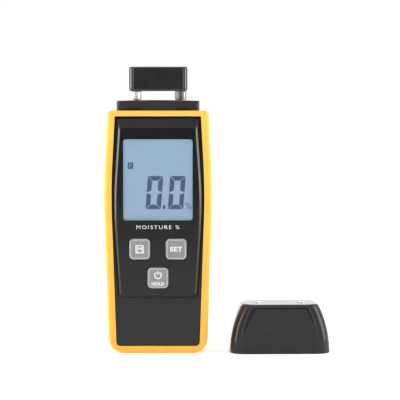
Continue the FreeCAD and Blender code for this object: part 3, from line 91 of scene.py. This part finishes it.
# Studio, in metres. The tent's opening has the direction of its middle, the cosines from there
# at its edge and where it is darkest, and a brightness there.
FLOOR_HALF_SIZE = 6.0
FLOOR_DROP = 0.02 * MM
FLOOR_GLOW = 0.42
OPENING_DIRECTION = (0.0, -0.995, 0.1)
OPENING_OUTSIDE = 0.78
OPENING_INSIDE = 0.93
OPENING_BRIGHTNESS = 0.06
FLAG_LEFT = -0.28
FLAG_RIGHT = 0.33
FLAG_FRONT = -0.9
FLAG_TOP = 0.26

# Camera, with its pitch in degrees and its sensor in millimetres.
CAMERA_AIM_X = 23.3 * MM
CAMERA_AIM_Z = 85.6 * MM
CAMERA_DISTANCE = 1000 * MM
CAMERA_PITCH = 3.3
PICTURE_WIDTH = 221 * MM
SENSOR_WIDTH = 36.0
NEAREST_SEEN = 0.01
FARTHEST_SEEN = 20.0


def middle_of(node):
    """Middle of a node's box."""
    low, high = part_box(node)
    return (low + high) / 2


def front_of(node):
    """Middle of a node's foremost face."""
    point = middle_of(node)
    point.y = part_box(node)[0].y
    return point


# Finishes ------------------------------------------------------------------------------------


class Finish:
    """A material whose colour, gloss and relief come from layers laid over the part."""

    def __init__(self, name, colour, roughness, metallic=0.0, **plain):
        self.name = name
        self.material = bpy.data.materials.new(name)
        self.material.use_nodes = True
        self.tree = self.material.node_tree
        self.shader = self.tree.nodes["Principled BSDF"]
        self.shader.inputs["Base Color"].default_value = (*colour, 1)
        self.shader.inputs["Roughness"].default_value = roughness
        self.shader.inputs["Metallic"].default_value = metallic
        for socket, value in plain.items():
            self.shader.inputs[socket.replace("_", " ")].default_value = value
        self.place = self.tree.nodes.new("ShaderNodeTexCoord").outputs["Object"]
        self.relief = None

    def feed(self, target, value):
        """Sets an input, or links it where the value is another node's output."""
        if isinstance(value, bpy.types.NodeSocket):
            self.tree.links.new(value, target)
        else:
            target.default_value = value

    def node(self, kind, **inputs):
        """New node with its inputs fed by name."""
        made = self.tree.nodes.new(kind)
        for socket, value in inputs.items():
            self.feed(made.inputs[socket], value)
        return made

    def stretched(self, stretch):
        """The part's own coordinates in metres, stretched along its axes."""
        return self.node("ShaderNodeMapping", Vector=self.place, Scale=stretch).outputs[0]

    def noise(self, size, detail=3.0, stretch=(1, 1, 1)):
        """Cloudy pattern, 0 to 1, with patches about as large as the size in metres."""
        place = self.stretched(stretch)
        return self.node("ShaderNodeTexNoise", Vector=place, Scale=1 / size, Detail=detail).outputs[0]

    def cloud(self, size, detail=4.0, low=0, high=1, stretch=(1, 1, 1)):
        """Cloudy pattern with its middle part spread from low to high."""
        return self.remap(self.noise(size, detail, stretch), 0.3, 0.7, low, high)

    def cells(self, size):
        """Distance from scattered points, about the size in metres apart."""
        made = self.node("ShaderNodeTexVoronoi", Vector=self.place, Scale=1 / size)
        return made.outputs["Distance"]

    def along(self, axis):
        """Distance along one of the part's axes, in metres."""
        return self.node("ShaderNodeSeparateXYZ", Vector=self.place).outputs[axis]

    def remap(self, source, start, end, low, high):
        """Carries the range from start to end over to the one from low to high."""
        made = self.node("ShaderNodeMapRange", Value=source)
        made.inputs["From Min"].default_value = start
        made.inputs["From Max"].default_value = end
        made.inputs["To Min"].default_value = low
        made.inputs["To Max"].default_value = high
        return made.outputs[0]

    def combine(self, operation, first, second):
        """Result of a sum, product or other operation on two values."""
        made = self.tree.nodes.new("ShaderNodeMath")
        made.operation = operation
        self.feed(made.inputs[0], first)
        self.feed(made.inputs[1], second)
        return made.outputs[0]

    def blend(self, factor, first, second):
        """Colour between two colours, by a factor."""
        made = self.tree.nodes.new("ShaderNodeMix")
        made.data_type = "RGBA"
        self.tree.links.new(factor, made.inputs["Factor"])
        for socket, colour in ((MIX_FIRST, first), (MIX_SECOND, second)):
            self.feed(made.inputs[socket], (*colour, 1) if isinstance(colour, tuple) else colour)
        return made.outputs[MIX_RESULT]

    def drive(self, socket, source):
        """Lets a layer drive one of the shader's inputs."""
        self.tree.links.new(source, self.shader.inputs[socket])

    def emboss(self, height, depth):
        """Adds relief of a depth in metres where the height goes from 0 to 1."""
        made = self.node("ShaderNodeBump", Height=height, Distance=depth, Strength=1.0)
        if self.relief:
            self.tree.links.new(self.relief, made.inputs["Normal"])
        self.relief = made.outputs[0]
        self.drive("Normal", self.relief)

    def glow(self, colour, strength):
        """Lets the surface give off light."""
        self.shader.inputs["Emission Color"].default_value = (*colour, 1)
        self.shader.inputs["Emission Strength"].default_value = strength


def moulded_surface(name, colour, gloss, grain, grain_depth, wave_depth, **plain):
    """Moulded plastic or rubber of one colour, with an uneven gloss, a grain and a waviness.

    The gloss is the least and the most roughness, the grain a size, and the depths are of relief.
    """
    finish = Finish(name, colour, gloss[0], **plain)
    finish.drive("Roughness", finish.cloud(5 * MM, 5.0, *gloss, stretch=(1, 1, 0.4)))
    finish.emboss(finish.noise(14 * MM, 1.0), wave_depth)
    finish.emboss(finish.noise(grain, 2.0), grain_depth)
    return finish


def moulded(name, dark, light, *surface, **plain):
    """Moulded plastic or rubber with a cloudy colour from dark to light."""
    finish = moulded_surface(name, dark, *surface, **plain)
    finish.drive("Base Color", finish.blend(finish.cloud(9 * MM), dark, light))
    return finish


def metal(name, colour, dull_colour, gloss, scratch_stretch, scratch_depth):
    """Plated or turned metal: fine scratches one way and dull patches."""
    finish = Finish(name, colour, gloss[0], 1.0)
    patch = finish.remap(finish.noise(1.6 * MM, 4.0), 0.4, 0.75, 0, 1)
    finish.drive("Base Color", finish.blend(patch, colour, dull_colour))
    scratch = finish.noise(0.35 * MM, 3.0, scratch_stretch)
    finish.drive("Roughness", finish.remap(scratch, 0.25, 0.75, *gloss))
    finish.emboss(scratch, scratch_depth)
    return finish


def bumper_rubber():
    """Soft yellow rubber, cloudy, with painted shade that makes it deeper in colour towards its foot.
    """
    deep, bright = (0.93, 0.43, 0.042), (0.96, 0.55, 0.072)
    finish = moulded_surface("bumper_rubber", deep, (0.45, 0.58), 0.25 * MM, 0.008 * MM, 0.05 * MM)
    cloud = finish.cloud(9 * MM, high=0.3)
    # Painted shade: the base colour runs from the deep yellow at the foot to the bright one higher
    # up.
    height = finish.remap(finish.along("Z"), 0, 95 * MM, 0, 0.7)
    finish.drive("Base Color", finish.blend(finish.combine("ADD", height, cloud), deep, bright))
    return finish


def polished_plastic(name, dark, light, gloss, **plain):
    """Polished black plastic with an uneven gloss and specks of dust."""
    finish = moulded_surface(name, dark, gloss, 0.5 * MM, 0.0006 * MM, 0.02 * MM, **plain)
    specks = finish.remap(finish.cells(DUST_SPACING), 0.0, DUST_SIZE, 1, 0)
    dust = finish.combine("MULTIPLY", specks, DUST_STRENGTH)
    body = finish.blend(finish.cloud(8 * MM), dark, light)
    finish.drive("Base Color", finish.blend(dust, body, DUST_GREY))
    return finish


def key_rubber(node):
    """Grey rubber of one key, with a painted highlight that makes it paler towards its sides."""
    middle = middle_of(node)
    finish = moulded_surface(node, KEY_DARK, (0.40, 0.55), 0.28 * MM, 0.008 * MM, 0.02 * MM)
    sides = []
    for axis, centre in (("X", middle.x), ("Z", middle.z)):
        offset = finish.combine("SUBTRACT", finish.along(axis), centre)
        sides.append(finish.combine("ABSOLUTE", offset, 0.0))
    from_middle = finish.combine("MAXIMUM", *sides)
    # Painted highlight: near its sides the face turns to the pale colour, as if a rounded edge caught
    # the light.
    painted_side_highlight = finish.remap(from_middle, PAINTED_HIGHLIGHT_START * MM, RIM_OUTSIDE * MM, 0, 1)
    face = finish.blend(finish.cloud(3 * MM), KEY_DARK, KEY_LIGHT)
    finish.drive("Base Color", finish.blend(painted_side_highlight, face, KEY_PAINTED_HIGHLIGHT))
    return finish


def window_plastic():
    """Clear acrylic with faint wiping marks."""
    finish = Finish("window_plastic", (0.97, 0.985, 0.99), 0.02, Transmission_Weight=1.0, IOR=1.49)
    wipe = finish.noise(6 * MM, 5.0, (1, 1, 0.3))
    finish.drive("Roughness", finish.remap(wipe, 0.35, 0.75, 0.0, 0.04))
    return finish


def lcd_glass():
    """Grey-blue display, lit from behind, a little paler towards its top."""
    low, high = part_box("lcd_glass")
    pale, deep = (0.31, 0.425, 0.545), (0.27, 0.385, 0.525)
    finish = Finish("lcd_glass", pale, 0.35)
    height = finish.combine("MULTIPLY", finish.remap(finish.along("Z"), low.z, high.z, 0, 1), 0.5)
    cloud = finish.combine("MULTIPLY", finish.noise(18 * MM, 2.0), 0.6)
    tone = finish.combine("ADD", cloud, height)
    finish.drive("Base Color", finish.blend(tone, deep, pale))
    finish.glow((0.263, 0.373, 0.487), 0.64)
    return finish


def lcd_ink():
    """Segments of the display: a blue-grey that lets some of the light through."""
    finish = moulded("lcd_ink", (0.045, 0.075, 0.135), (0.06, 0.095, 0.165), (0.35, 0.45),
                     0.3 * MM, 0.001 * MM, 0.005 * MM)
    finish.glow((0.060, 0.095, 0.165), 0.6)
    return finish


def label_film():
    """Satin foil label with a faint vertical brushing."""
    finish = Finish("label_film", (0.62, 0.63, 0.64), 0.35, 0.25)
    brush = finish.noise(0.5 * MM, 3.0, (1, 1, 0.05))
    finish.drive("Base Color", finish.blend(brush, (0.56, 0.57, 0.58), (0.68, 0.69, 0.70)))
    finish.drive("Roughness", finish.remap(brush, 0.2, 0.8, 0.3, 0.45))
    finish.emboss(brush, 0.004 * MM)
    return finish


def cell_wrap():
    """Dark printed film round a cell, with two copper-coloured bands."""
    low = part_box("battery_2")[0]
    finish = Finish("cell_wrap", (0.03, 0.045, 0.07), 0.3)
    height = finish.combine("SUBTRACT", finish.along("Z"), low.z)
    band = finish.remap(finish.combine("PINGPONG", height, BAND_SPACING), *BAND_EDGE, 0, 1)
    film = finish.blend(finish.cloud(3 * MM), (0.022, 0.034, 0.055), (0.035, 0.05, 0.08))
    finish.drive("Base Color", finish.blend(band, film, (0.55, 0.27, 0.10)))
    finish.drive("Roughness", finish.cloud(1.5 * MM, low=0.22, high=0.34))
    finish.emboss(finish.noise(7 * MM, 2.0), 0.03 * MM)
    return finish


def circuit_board():
    """Green solder mask over a grid of raised copper tracks."""
    finish = Finish("circuit_board", (0.01, 0.09, 0.035), 0.3)
    place = finish.stretched((1, 1, 1))
    grid = finish.node("ShaderNodeTexBrick", Vector=place, Scale=TRACKS_PER_METRE)
    grid.inputs["Mortar Size"].default_value = TRACK_WIDTH
    track = grid.outputs["Fac"]
    cloud = finish.cloud(5 * MM, 3.0)
    mask = finish.blend(cloud, (0.008, 0.075, 0.028), (0.012, 0.11, 0.045))
    finish.drive("Base Color", finish.blend(track, mask, (0.03, 0.2, 0.08)))
    finish.drive("Roughness", finish.remap(cloud, 0, 1, 0.25, 0.38))
    finish.emboss(track, 0.03 * MM)
    return finish


SLOT_FINISHES = (
    bumper_rubber(),
    moulded("shell_plastic", (0.0048, 0.0048, 0.0054), (0.0070, 0.0070, 0.0078), (0.20, 0.27),
            0.22 * MM, 0.003 * MM, 0.02 * MM, Specular_IOR_Level=0.41),
    moulded("head_plastic", (0.013, 0.013, 0.014), (0.018, 0.018, 0.019), (0.38, 0.48),
            0.22 * MM, 0.004 * MM, 0.03 * MM),
    polished_plastic("guard_plastic", (0.019, 0.019, 0.021), (0.025, 0.025, 0.027), (0.08, 0.13)),
    polished_plastic("cap_plastic", (0.018, 0.018, 0.0202), (0.023, 0.023, 0.0255), (0.03, 0.07),
                     Specular_IOR_Level=0.2),
    window_plastic(),
    lcd_glass(),
    moulded("light_guide", (0.78, 0.8, 0.81), (0.86, 0.88, 0.89), (0.2, 0.3),
            0.4 * MM, 0.002 * MM, 0.01 * MM),
    moulded("holder_plastic", (0.6, 0.6, 0.58), (0.68, 0.68, 0.66), (0.42, 0.55),
            0.3 * MM, 0.006 * MM, 0.03 * MM),
    moulded("conductive_rubber", (0.03, 0.03, 0.032), (0.06, 0.06, 0.062), (0.6, 0.75),
            0.2 * MM, 0.01 * MM, 0.02 * MM),
    moulded("silicone_sheet", (0.36, 0.38, 0.38), (0.44, 0.46, 0.46), (0.45, 0.6),
            0.4 * MM, 0.008 * MM, 0.05 * MM, Subsurface_Weight=0.2),
    circuit_board(),
    moulded("chip_epoxy", (0.014, 0.014, 0.014), (0.022, 0.022, 0.022), (0.5, 0.65),
            0.12 * MM, 0.006 * MM, 0.01 * MM),
    moulded("resistor_ceramic", (0.02, 0.02, 0.022), (0.05, 0.05, 0.05), (0.3, 0.5),
            0.1 * MM, 0.004 * MM, 0.01 * MM),
    metal("can_metal", (0.80, 0.81, 0.82), (0.66, 0.67, 0.68), (0.22, 0.34), (1, 1, 0.2),
          0.003 * MM),
    metal("nickel", (0.96, 0.95, 0.92), (0.90, 0.89, 0.86), (0.36, 0.46), (1, 1, 3), 0.003 * MM),
    metal("pin_steel", (0.72, 0.72, 0.72), (0.56, 0.56, 0.57), (0.12, 0.25), (1, 1, 4),
          0.002 * MM),
    metal("brass_stud", (0.85, 0.62, 0.26), (0.62, 0.42, 0.16), (0.18, 0.32), (1, 1, 4),
          0.004 * MM),
    metal("screw_steel", (0.12, 0.12, 0.125), (0.06, 0.06, 0.062), (0.3, 0.45), (1, 3, 1),
          0.004 * MM),
    metal("spring_steel", (0.75, 0.75, 0.74), (0.58, 0.57, 0.55), (0.16, 0.3), (1, 1, 1),
          0.002 * MM),
    cell_wrap(),
    label_film(),
    moulded("foam", (0.02, 0.02, 0.02), (0.045, 0.045, 0.045), (0.85, 0.95),
            0.5 * MM, 0.1 * MM, 0.1 * MM),
    moulded("lead_red", (0.42, 0.012, 0.01), (0.52, 0.02, 0.015), (0.35, 0.5),
            0.4 * MM, 0.004 * MM, 0.02 * MM),
    moulded("lead_black", (0.012, 0.012, 0.012), (0.022, 0.022, 0.022), (0.35, 0.5),
            0.4 * MM, 0.004 * MM, 0.02 * MM),
)
FINISHES = {finish.name: finish for finish in SLOT_FINISHES}
# Painted shade: a darker, browner copy of the nickel that makes the right nut look darker than the
# left one.
NICKEL_PAINTED_SHADE = metal("nickel_painted_shade", (0.35, 0.34, 0.31), (0.24, 0.23, 0.21), (0.26, 0.40),
                  (1, 1, 3), 0.004 * MM)
WHITE_INK = moulded("white_ink", (0.74, 0.75, 0.75), (0.84, 0.85, 0.85), (0.45, 0.6),
                    0.15 * MM, 0.004 * MM, 0.01 * MM)
LCD_INK = lcd_ink()
LABEL_INK = moulded("label_ink", (0.02, 0.02, 0.022), (0.035, 0.035, 0.037), (0.4, 0.5),
                    0.15 * MM, 0.003 * MM, 0.01 * MM)
# Painted highlight: the rim's pale colour stands in for light caught by the keys' rounded edges.
RIM_PAINTED_HIGHLIGHT = moulded("rim_rubber", (0.370, 0.380, 0.380), (0.400, 0.410, 0.410), (0.40, 0.55),
                     0.28 * MM, 0.008 * MM, 0.02 * MM)


def dress_frame():
    """Gives every CAD node the finish of its material slot, and each key its own.

    The right nut gets painted shade: a duller and browner copy of the nickel than the left one.
    """
    for name, node in NODES.items():
        slot = node.data.materials[0].name.split(".")[0]
        finish = key_rubber(name) if slot == "key_rubber" else FINISHES[slot]
        if name == "right_pin_nut":
            finish = NICKEL_PAINTED_SHADE
        node.data.materials[0] = finish.material


# Printed marks and key rims with painted highlights ---------------------------------------------


def rounded_box(left, right, bottom, top, radius):
    """Outline of a box with round corners."""
    corners = ((right - radius, top - radius, 0), (left + radius, top - radius, 90),
               (left + radius, bottom + radius, 180), (right - radius, bottom + radius, 270))
    points = []
    for x, z, start in corners:
        for step in range(CORNER_STEPS + 1):
            angle = math.radians(start + 90 * step / CORNER_STEPS)
            points.append((x + radius * math.cos(angle), z + radius * math.sin(angle)))
    return points


def centred_box(half_wide, half_tall, radius):
    """Outline of a box with round corners about the middle."""
    return rounded_box(-half_wide, half_wide, -half_tall, half_tall, radius)


def arc_band(x, z, radius, thickness, start, end):
    """Outline of a bent strip round a centre, from one angle to another in degrees."""
    angles = [math.radians(start + (end - start) * step / ARC_STEPS)
              for step in range(ARC_STEPS + 1)]
    outer, inner = [[(x + size * math.cos(angle), z + size * math.sin(angle)) for angle in angles]
                    for size in (radius, radius - thickness)]
    return outer + inner[::-1]


def mesh_of(curve):
    """Mesh of a curve's shape; the curve itself is removed."""
    holder = bpy.data.objects.new("holder", curve)
    bpy.context.scene.collection.objects.link(holder)
    bpy.context.view_layer.update()
    mesh = bpy.data.meshes.new_from_object(holder)
    bpy.data.objects.remove(holder)
    bpy.data.curves.remove(curve)
    return mesh


def filled(outlines):
    """Filled mesh of closed outlines in millimetres; an outline inside another is a hole."""
    curve = bpy.data.curves.new("outline", "CURVE")
    curve.dimensions = "2D"
    curve.fill_mode = "BOTH"
    curve.extrude = HALF_LAYER
    for outline in outlines:
        spline = curve.splines.new("POLY")
        spline.points.add(len(outline) - 1)
        for point, (x, z) in zip(spline.points, outline):
            point.co = (x, z, 0, 1)
        spline.use_cyclic_u = True
    return mesh_of(curve)


def words(text, height, width, x=0.0, z=0.0, tracking=1.0, weight=0.0):
    """Filled mesh of a word of a given height and width in millimetres about a centre."""
    curve = bpy.data.curves.new("word", "FONT")
    curve.body = text
    curve.space_character = tracking
    curve.offset = weight
    curve.extrude = HALF_LAYER
    mesh = mesh_of(curve)
    xs = [v.co.x for v in mesh.vertices]
    ys = [v.co.y for v in mesh.vertices]
    middle = Vector(((min(xs) + max(xs)) / 2, (min(ys) + max(ys)) / 2, 0))
    scale = Matrix.Diagonal((width / (max(xs) - min(xs)), height / (max(ys) - min(ys)), 1, 1))
    mesh.transform(Matrix.Translation((x, z, 0)) @ scale @ Matrix.Translation(-middle))
    return mesh


def printed(name, meshes, middle, finish, body, facing=-1, height=INK):
    """Joins filled meshes into one layer of a height on a surface that faces along -Y or +Y."""
    vertices, faces = [], []
    for mesh in meshes:
        first = len(vertices)
        vertices += [v.co.copy() for v in mesh.vertices]
        faces += [[first + i for i in face.vertices] for face in mesh.polygons]
    turn = Matrix.Rotation(math.radians(90), 4, "X")
    if facing > 0:
        turn = Matrix.Rotation(math.radians(180), 4, "Z") @ turn
    scale = Matrix.Diagonal((MM, MM, height, 1))
    place = Matrix.Translation(middle + Vector((0, facing * height / 2, 0))) @ turn @ scale
    mesh = bpy.data.meshes.new(name)
    mesh.from_pydata([place @ v for v in vertices], [], faces)
    mesh.materials.append(finish.material)
    piece = bpy.data.objects.new(name, mesh)
    bpy.context.scene.collection.objects.link(piece)
    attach(piece, body)


def zero_digit(left):
    """Outlines of the six lit segments of a slanted figure nought."""
    wide, tall, thick, gap = DIGIT_WIDTH, DIGIT_HEIGHT, SEGMENT_THICKNESS, SEGMENT_GAP
    flat = [(gap, tall), (wide - gap, tall), (wide - thick - gap, tall - thick),
            (thick + gap, tall - thick)]
    upright = [(0, tall - gap), (thick, tall - thick - gap), (thick, tall / 2 + SEGMENT_BEVEL),
               (0, tall / 2 + gap)]
    segments = [flat, [(x, tall - z) for x, z in flat]]
    for side in (upright, [(wide - x, z) for x, z in upright]):
        segments.append(side)
        segments.append([(x, tall - z) for x, z in side])
    return [[(left + x + DIGIT_SLANT * z, DIGIT_BOTTOM + z) for x, z in segment]
            for segment in segments]


def display_print():
    """The reading 0.0 with its percent sign, and the small mark at the upper left."""
    glass = front_of("lcd_glass")
    outlines = [segment for left in DIGIT_LEFTS for segment in zero_digit(left)]
    outlines.append(rounded_box(*POINT_BOX, MARK_RADIUS))
    reading = filled(outlines)
    percent = words("%", height=3.3, width=3.5, x=16.9, z=-14.4)
    printed("display_reading", [reading, percent], glass, LCD_INK, "meter_body")
    mark = filled([rounded_box(*MARK_BOX, MARK_RADIUS)])
    printed("display_mark", [mark], glass, LCD_INK, "meter_body")
    letter = words("F", height=2.1, width=1.3, x=-15.2, z=7.85)
    printed("display_mark_letter", [letter], glass - Vector((0, INK, 0)), FINISHES["lcd_glass"],
            "meter_body")


def panel_print():
    """The line of words between the display and the keys."""
    point = front_of("front_shell")
    point.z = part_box("display_window")[0].z - LEGEND_DROP * MM
    line = words("MOISTURE %", height=2.0, width=23.8, tracking=1.3)
    printed("panel_legend", [line], point, WHITE_INK, "meter_body")


def key_prints():
    """Signs on the three keys: M in a box, SET, and a power sign over HOLD."""
    box = filled([centred_box(2.3, 2.3, radius=0.5), centred_box(1.7, 1.7, radius=0.25)])
    letter = words("M", height=2.7, width=2.7, weight=0.035)
    set_word = words("SET", height=2.75, width=6.7, tracking=1.05, weight=0.03)
    ring = filled([arc_band(x=0, z=1.5, radius=2.1, thickness=0.62, start=118, end=422)])
    bar = filled([rounded_box(left=-0.32, right=0.32, bottom=1.7, top=3.8, radius=0.2)])
    hold_word = words("HOLD", height=1.9, width=7.1, z=-3.2, tracking=1.05, weight=0.04)
    for key, meshes in (("memory", [box, letter]), ("set", [set_word]),
                        ("hold", [ring, bar, hold_word])):
        node = f"{key}_key"
        printed(f"{key}_legend", meshes, front_of(node), WHITE_INK, node)


def key_rims():
    """Low rim that stands round the face of each key, in a pale colour that is a painted highlight.
    """
    for key in ("memory_key", "set_key", "hold_key"):
        band = filled([centred_box(RIM_OUTSIDE, RIM_OUTSIDE, radius=1.1),
                       centred_box(RIM_INSIDE, RIM_INSIDE, radius=0.7)])
        printed(f"{key}_rim", [band], front_of(key), RIM_PAINTED_HIGHLIGHT, key,
                height=RIM_HEIGHT)


def label_prints():
    """A thin border, a line of words, a rule and the kind of cells on the rear label."""
    low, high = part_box("rating_label")
    point = (low + high) / 2
    point.y = high.y
    half_wide = (high.x - low.x) / 2 / MM - LABEL_MARGIN
    half_tall = (high.z - low.z) / 2 / MM - LABEL_MARGIN
    inner_wide, inner_tall = half_wide - BORDER_WIDTH, half_tall - BORDER_WIDTH
    border = filled([centred_box(half_wide, half_tall, radius=1.0),
                     centred_box(inner_wide, inner_tall, radius=0.8)])
    rule = filled([centred_box(half_wide - RULE_MARGIN, half_tall=0.1, radius=0.05)])
    cells = words("3 x 1.5 V AAA", height=2.4, width=19.0, z=-5.0, weight=0.008)
    name = words("MOISTURE %", height=2.6, width=20.0, z=5.0, tracking=1.1, weight=0.012)
    printed("label_print", [border, rule, cells, name], point, LABEL_INK, "meter_body",
            facing=1)


# Studio --------------------------------------------------------------------------------------


def card(name, corners, finish):
    """Flat four-sided piece of the studio."""
    mesh = bpy.data.meshes.new(name)
    mesh.from_pydata(corners, [], [(0, 1, 2, 3)])
    mesh.materials.append(finish.material)
    piece = bpy.data.objects.new(name, mesh)
    bpy.context.scene.collection.objects.link(piece)
    return piece


def floor():
    """Pale table top that runs off into the light background, just clear of the undersides."""
    finish = Finish("floor", (0.8, 0.8, 0.8), 0.6)
    shade = finish.cloud(0.2, 3.0)
    finish.drive("Base Color", finish.blend(shade, (0.79, 0.79, 0.79), (0.81, 0.81, 0.81)))
    finish.glow((1, 1, 1), FLOOR_GLOW)
    size = FLOOR_HALF_SIZE
    corners = [(-size, -size, 0), (size, -size, 0), (size, size, 0), (-size, size, 0)]
    card("floor", corners, finish).location = (0, 0, -FLOOR_DROP)


def softbox(name, place, aim, width, height, brightness, gloss_only=False):
    """Rectangular light of an even brightness that faces a point."""
    light = bpy.data.lights.new(name, "AREA")
    light.shape = "RECTANGLE"
    light.size = width
    light.size_y = height
    light.energy = brightness * math.pi * width * height
    lamp = bpy.data.objects.new(name, light)
    lamp.location = place
    lamp.rotation_euler = (Vector(aim) - Vector(place)).to_track_quat("-Z", "Y").to_euler()
    lamp.visible_diffuse = not gloss_only
    bpy.context.scene.collection.objects.link(lamp)


def tent():
    """White tent all round, with a dark opening low down on the side that the display faces."""
    world = bpy.data.worlds.new("tent")
    world.use_nodes = True
    bpy.context.scene.world = world
    tree = world.node_tree
    background = tree.nodes["Background"]
    direction = tree.nodes.new("ShaderNodeTexCoord").outputs["Generated"]
    gradient = tree.nodes.new("ShaderNodeVectorMath")
    gradient.operation = "DOT_PRODUCT"
    gradient.inputs[1].default_value = OPENING_DIRECTION
    tree.links.new(direction, gradient.inputs[0])
    ramp = tree.nodes.new("ShaderNodeMapRange")
    ramp.interpolation_type = "SMOOTHSTEP"
    ramp.inputs["From Min"].default_value = OPENING_OUTSIDE
    ramp.inputs["From Max"].default_value = OPENING_INSIDE
    ramp.inputs["To Min"].default_value = 1.0
    ramp.inputs["To Max"].default_value = OPENING_BRIGHTNESS
    tree.links.new(gradient.outputs["Value"], ramp.inputs["Value"])
    tree.links.new(ramp.outputs[0], background.inputs["Color"])
    background.inputs["Strength"].default_value = 1.0


def flag():
    """Black card in front of the display that only gloss sees, for depth in the black plastic."""
    corners = [(FLAG_LEFT, FLAG_FRONT, 0), (FLAG_RIGHT, FLAG_FRONT, 0),
               (FLAG_RIGHT, FLAG_FRONT, FLAG_TOP), (FLAG_LEFT, FLAG_FRONT, FLAG_TOP)]
    piece = card("flag", corners, FINISHES["foam"])
    piece.visible_camera = False
    piece.visible_diffuse = False
    piece.visible_shadow = False


def lights():
    """Softboxes at both sides and above, and strips and glows for highlights on edges and tops."""
    softbox("left_softbox", place=(-0.80, 0.0, 0.28), aim=(0, 0, 0.08),
            width=0.45, height=0.8, brightness=4.0)
    softbox("right_softbox", place=(0.90, 0.0, 0.28), aim=(0.03, 0, 0.08),
            width=0.45, height=0.8, brightness=3.2)
    softbox("left_strip", place=(-0.55, -0.72, 0.22), aim=(0, 0, 0.08),
            width=0.12, height=0.6, brightness=2.6)
    softbox("right_strip", place=(0.68, -0.72, 0.22), aim=(0.06, 0, 0.08),
            width=0.12, height=0.6, brightness=2.6)
    softbox("left_glow", place=(-0.90, -0.04, 0.12), aim=(0, 0, 0.10),
            width=0.14, height=0.5, brightness=5.8, gloss_only=True)
    softbox("right_glow", place=(1.00, -0.04, 0.12), aim=(0.03, 0, 0.10),
            width=0.14, height=0.5, brightness=5.8, gloss_only=True)
    softbox("back_glow", place=(0.05, 1.60, 0.24), aim=(0.05, 0, 0.03),
            width=1.6, height=0.5, brightness=0.52, gloss_only=True)
    softbox("top_softbox", place=(0.05, -0.30, 0.90), aim=(0.03, 0, 0.05),
            width=0.8, height=0.6, brightness=0.85)


def camera():
    """Long lens a little right of the meter and slightly above it, aimed at the picture's middle."""
    aim = Vector((CAMERA_AIM_X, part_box("hold_key")[0].y, CAMERA_AIM_Z))
    pitch = math.radians(CAMERA_PITCH)
    data = bpy.data.cameras.new("camera")
    data.sensor_width = SENSOR_WIDTH
    data.lens = SENSOR_WIDTH * CAMERA_DISTANCE / PICTURE_WIDTH
    data.clip_start = NEAREST_SEEN
    data.clip_end = FARTHEST_SEEN
    view = bpy.data.objects.new("camera", data)
    view.location = aim + CAMERA_DISTANCE * Vector((0, -math.cos(pitch), math.sin(pitch)))
    view.rotation_euler = (math.radians(90) - pitch, 0, 0)
    bpy.context.scene.collection.objects.link(view)
    bpy.context.scene.camera = view


dress_frame()
display_print()
panel_print()
key_prints()
key_rims()
label_prints()
floor()
tent()
flag()
lights()
camera()
bpy.context.scene.view_settings.view_transform = "Standard"
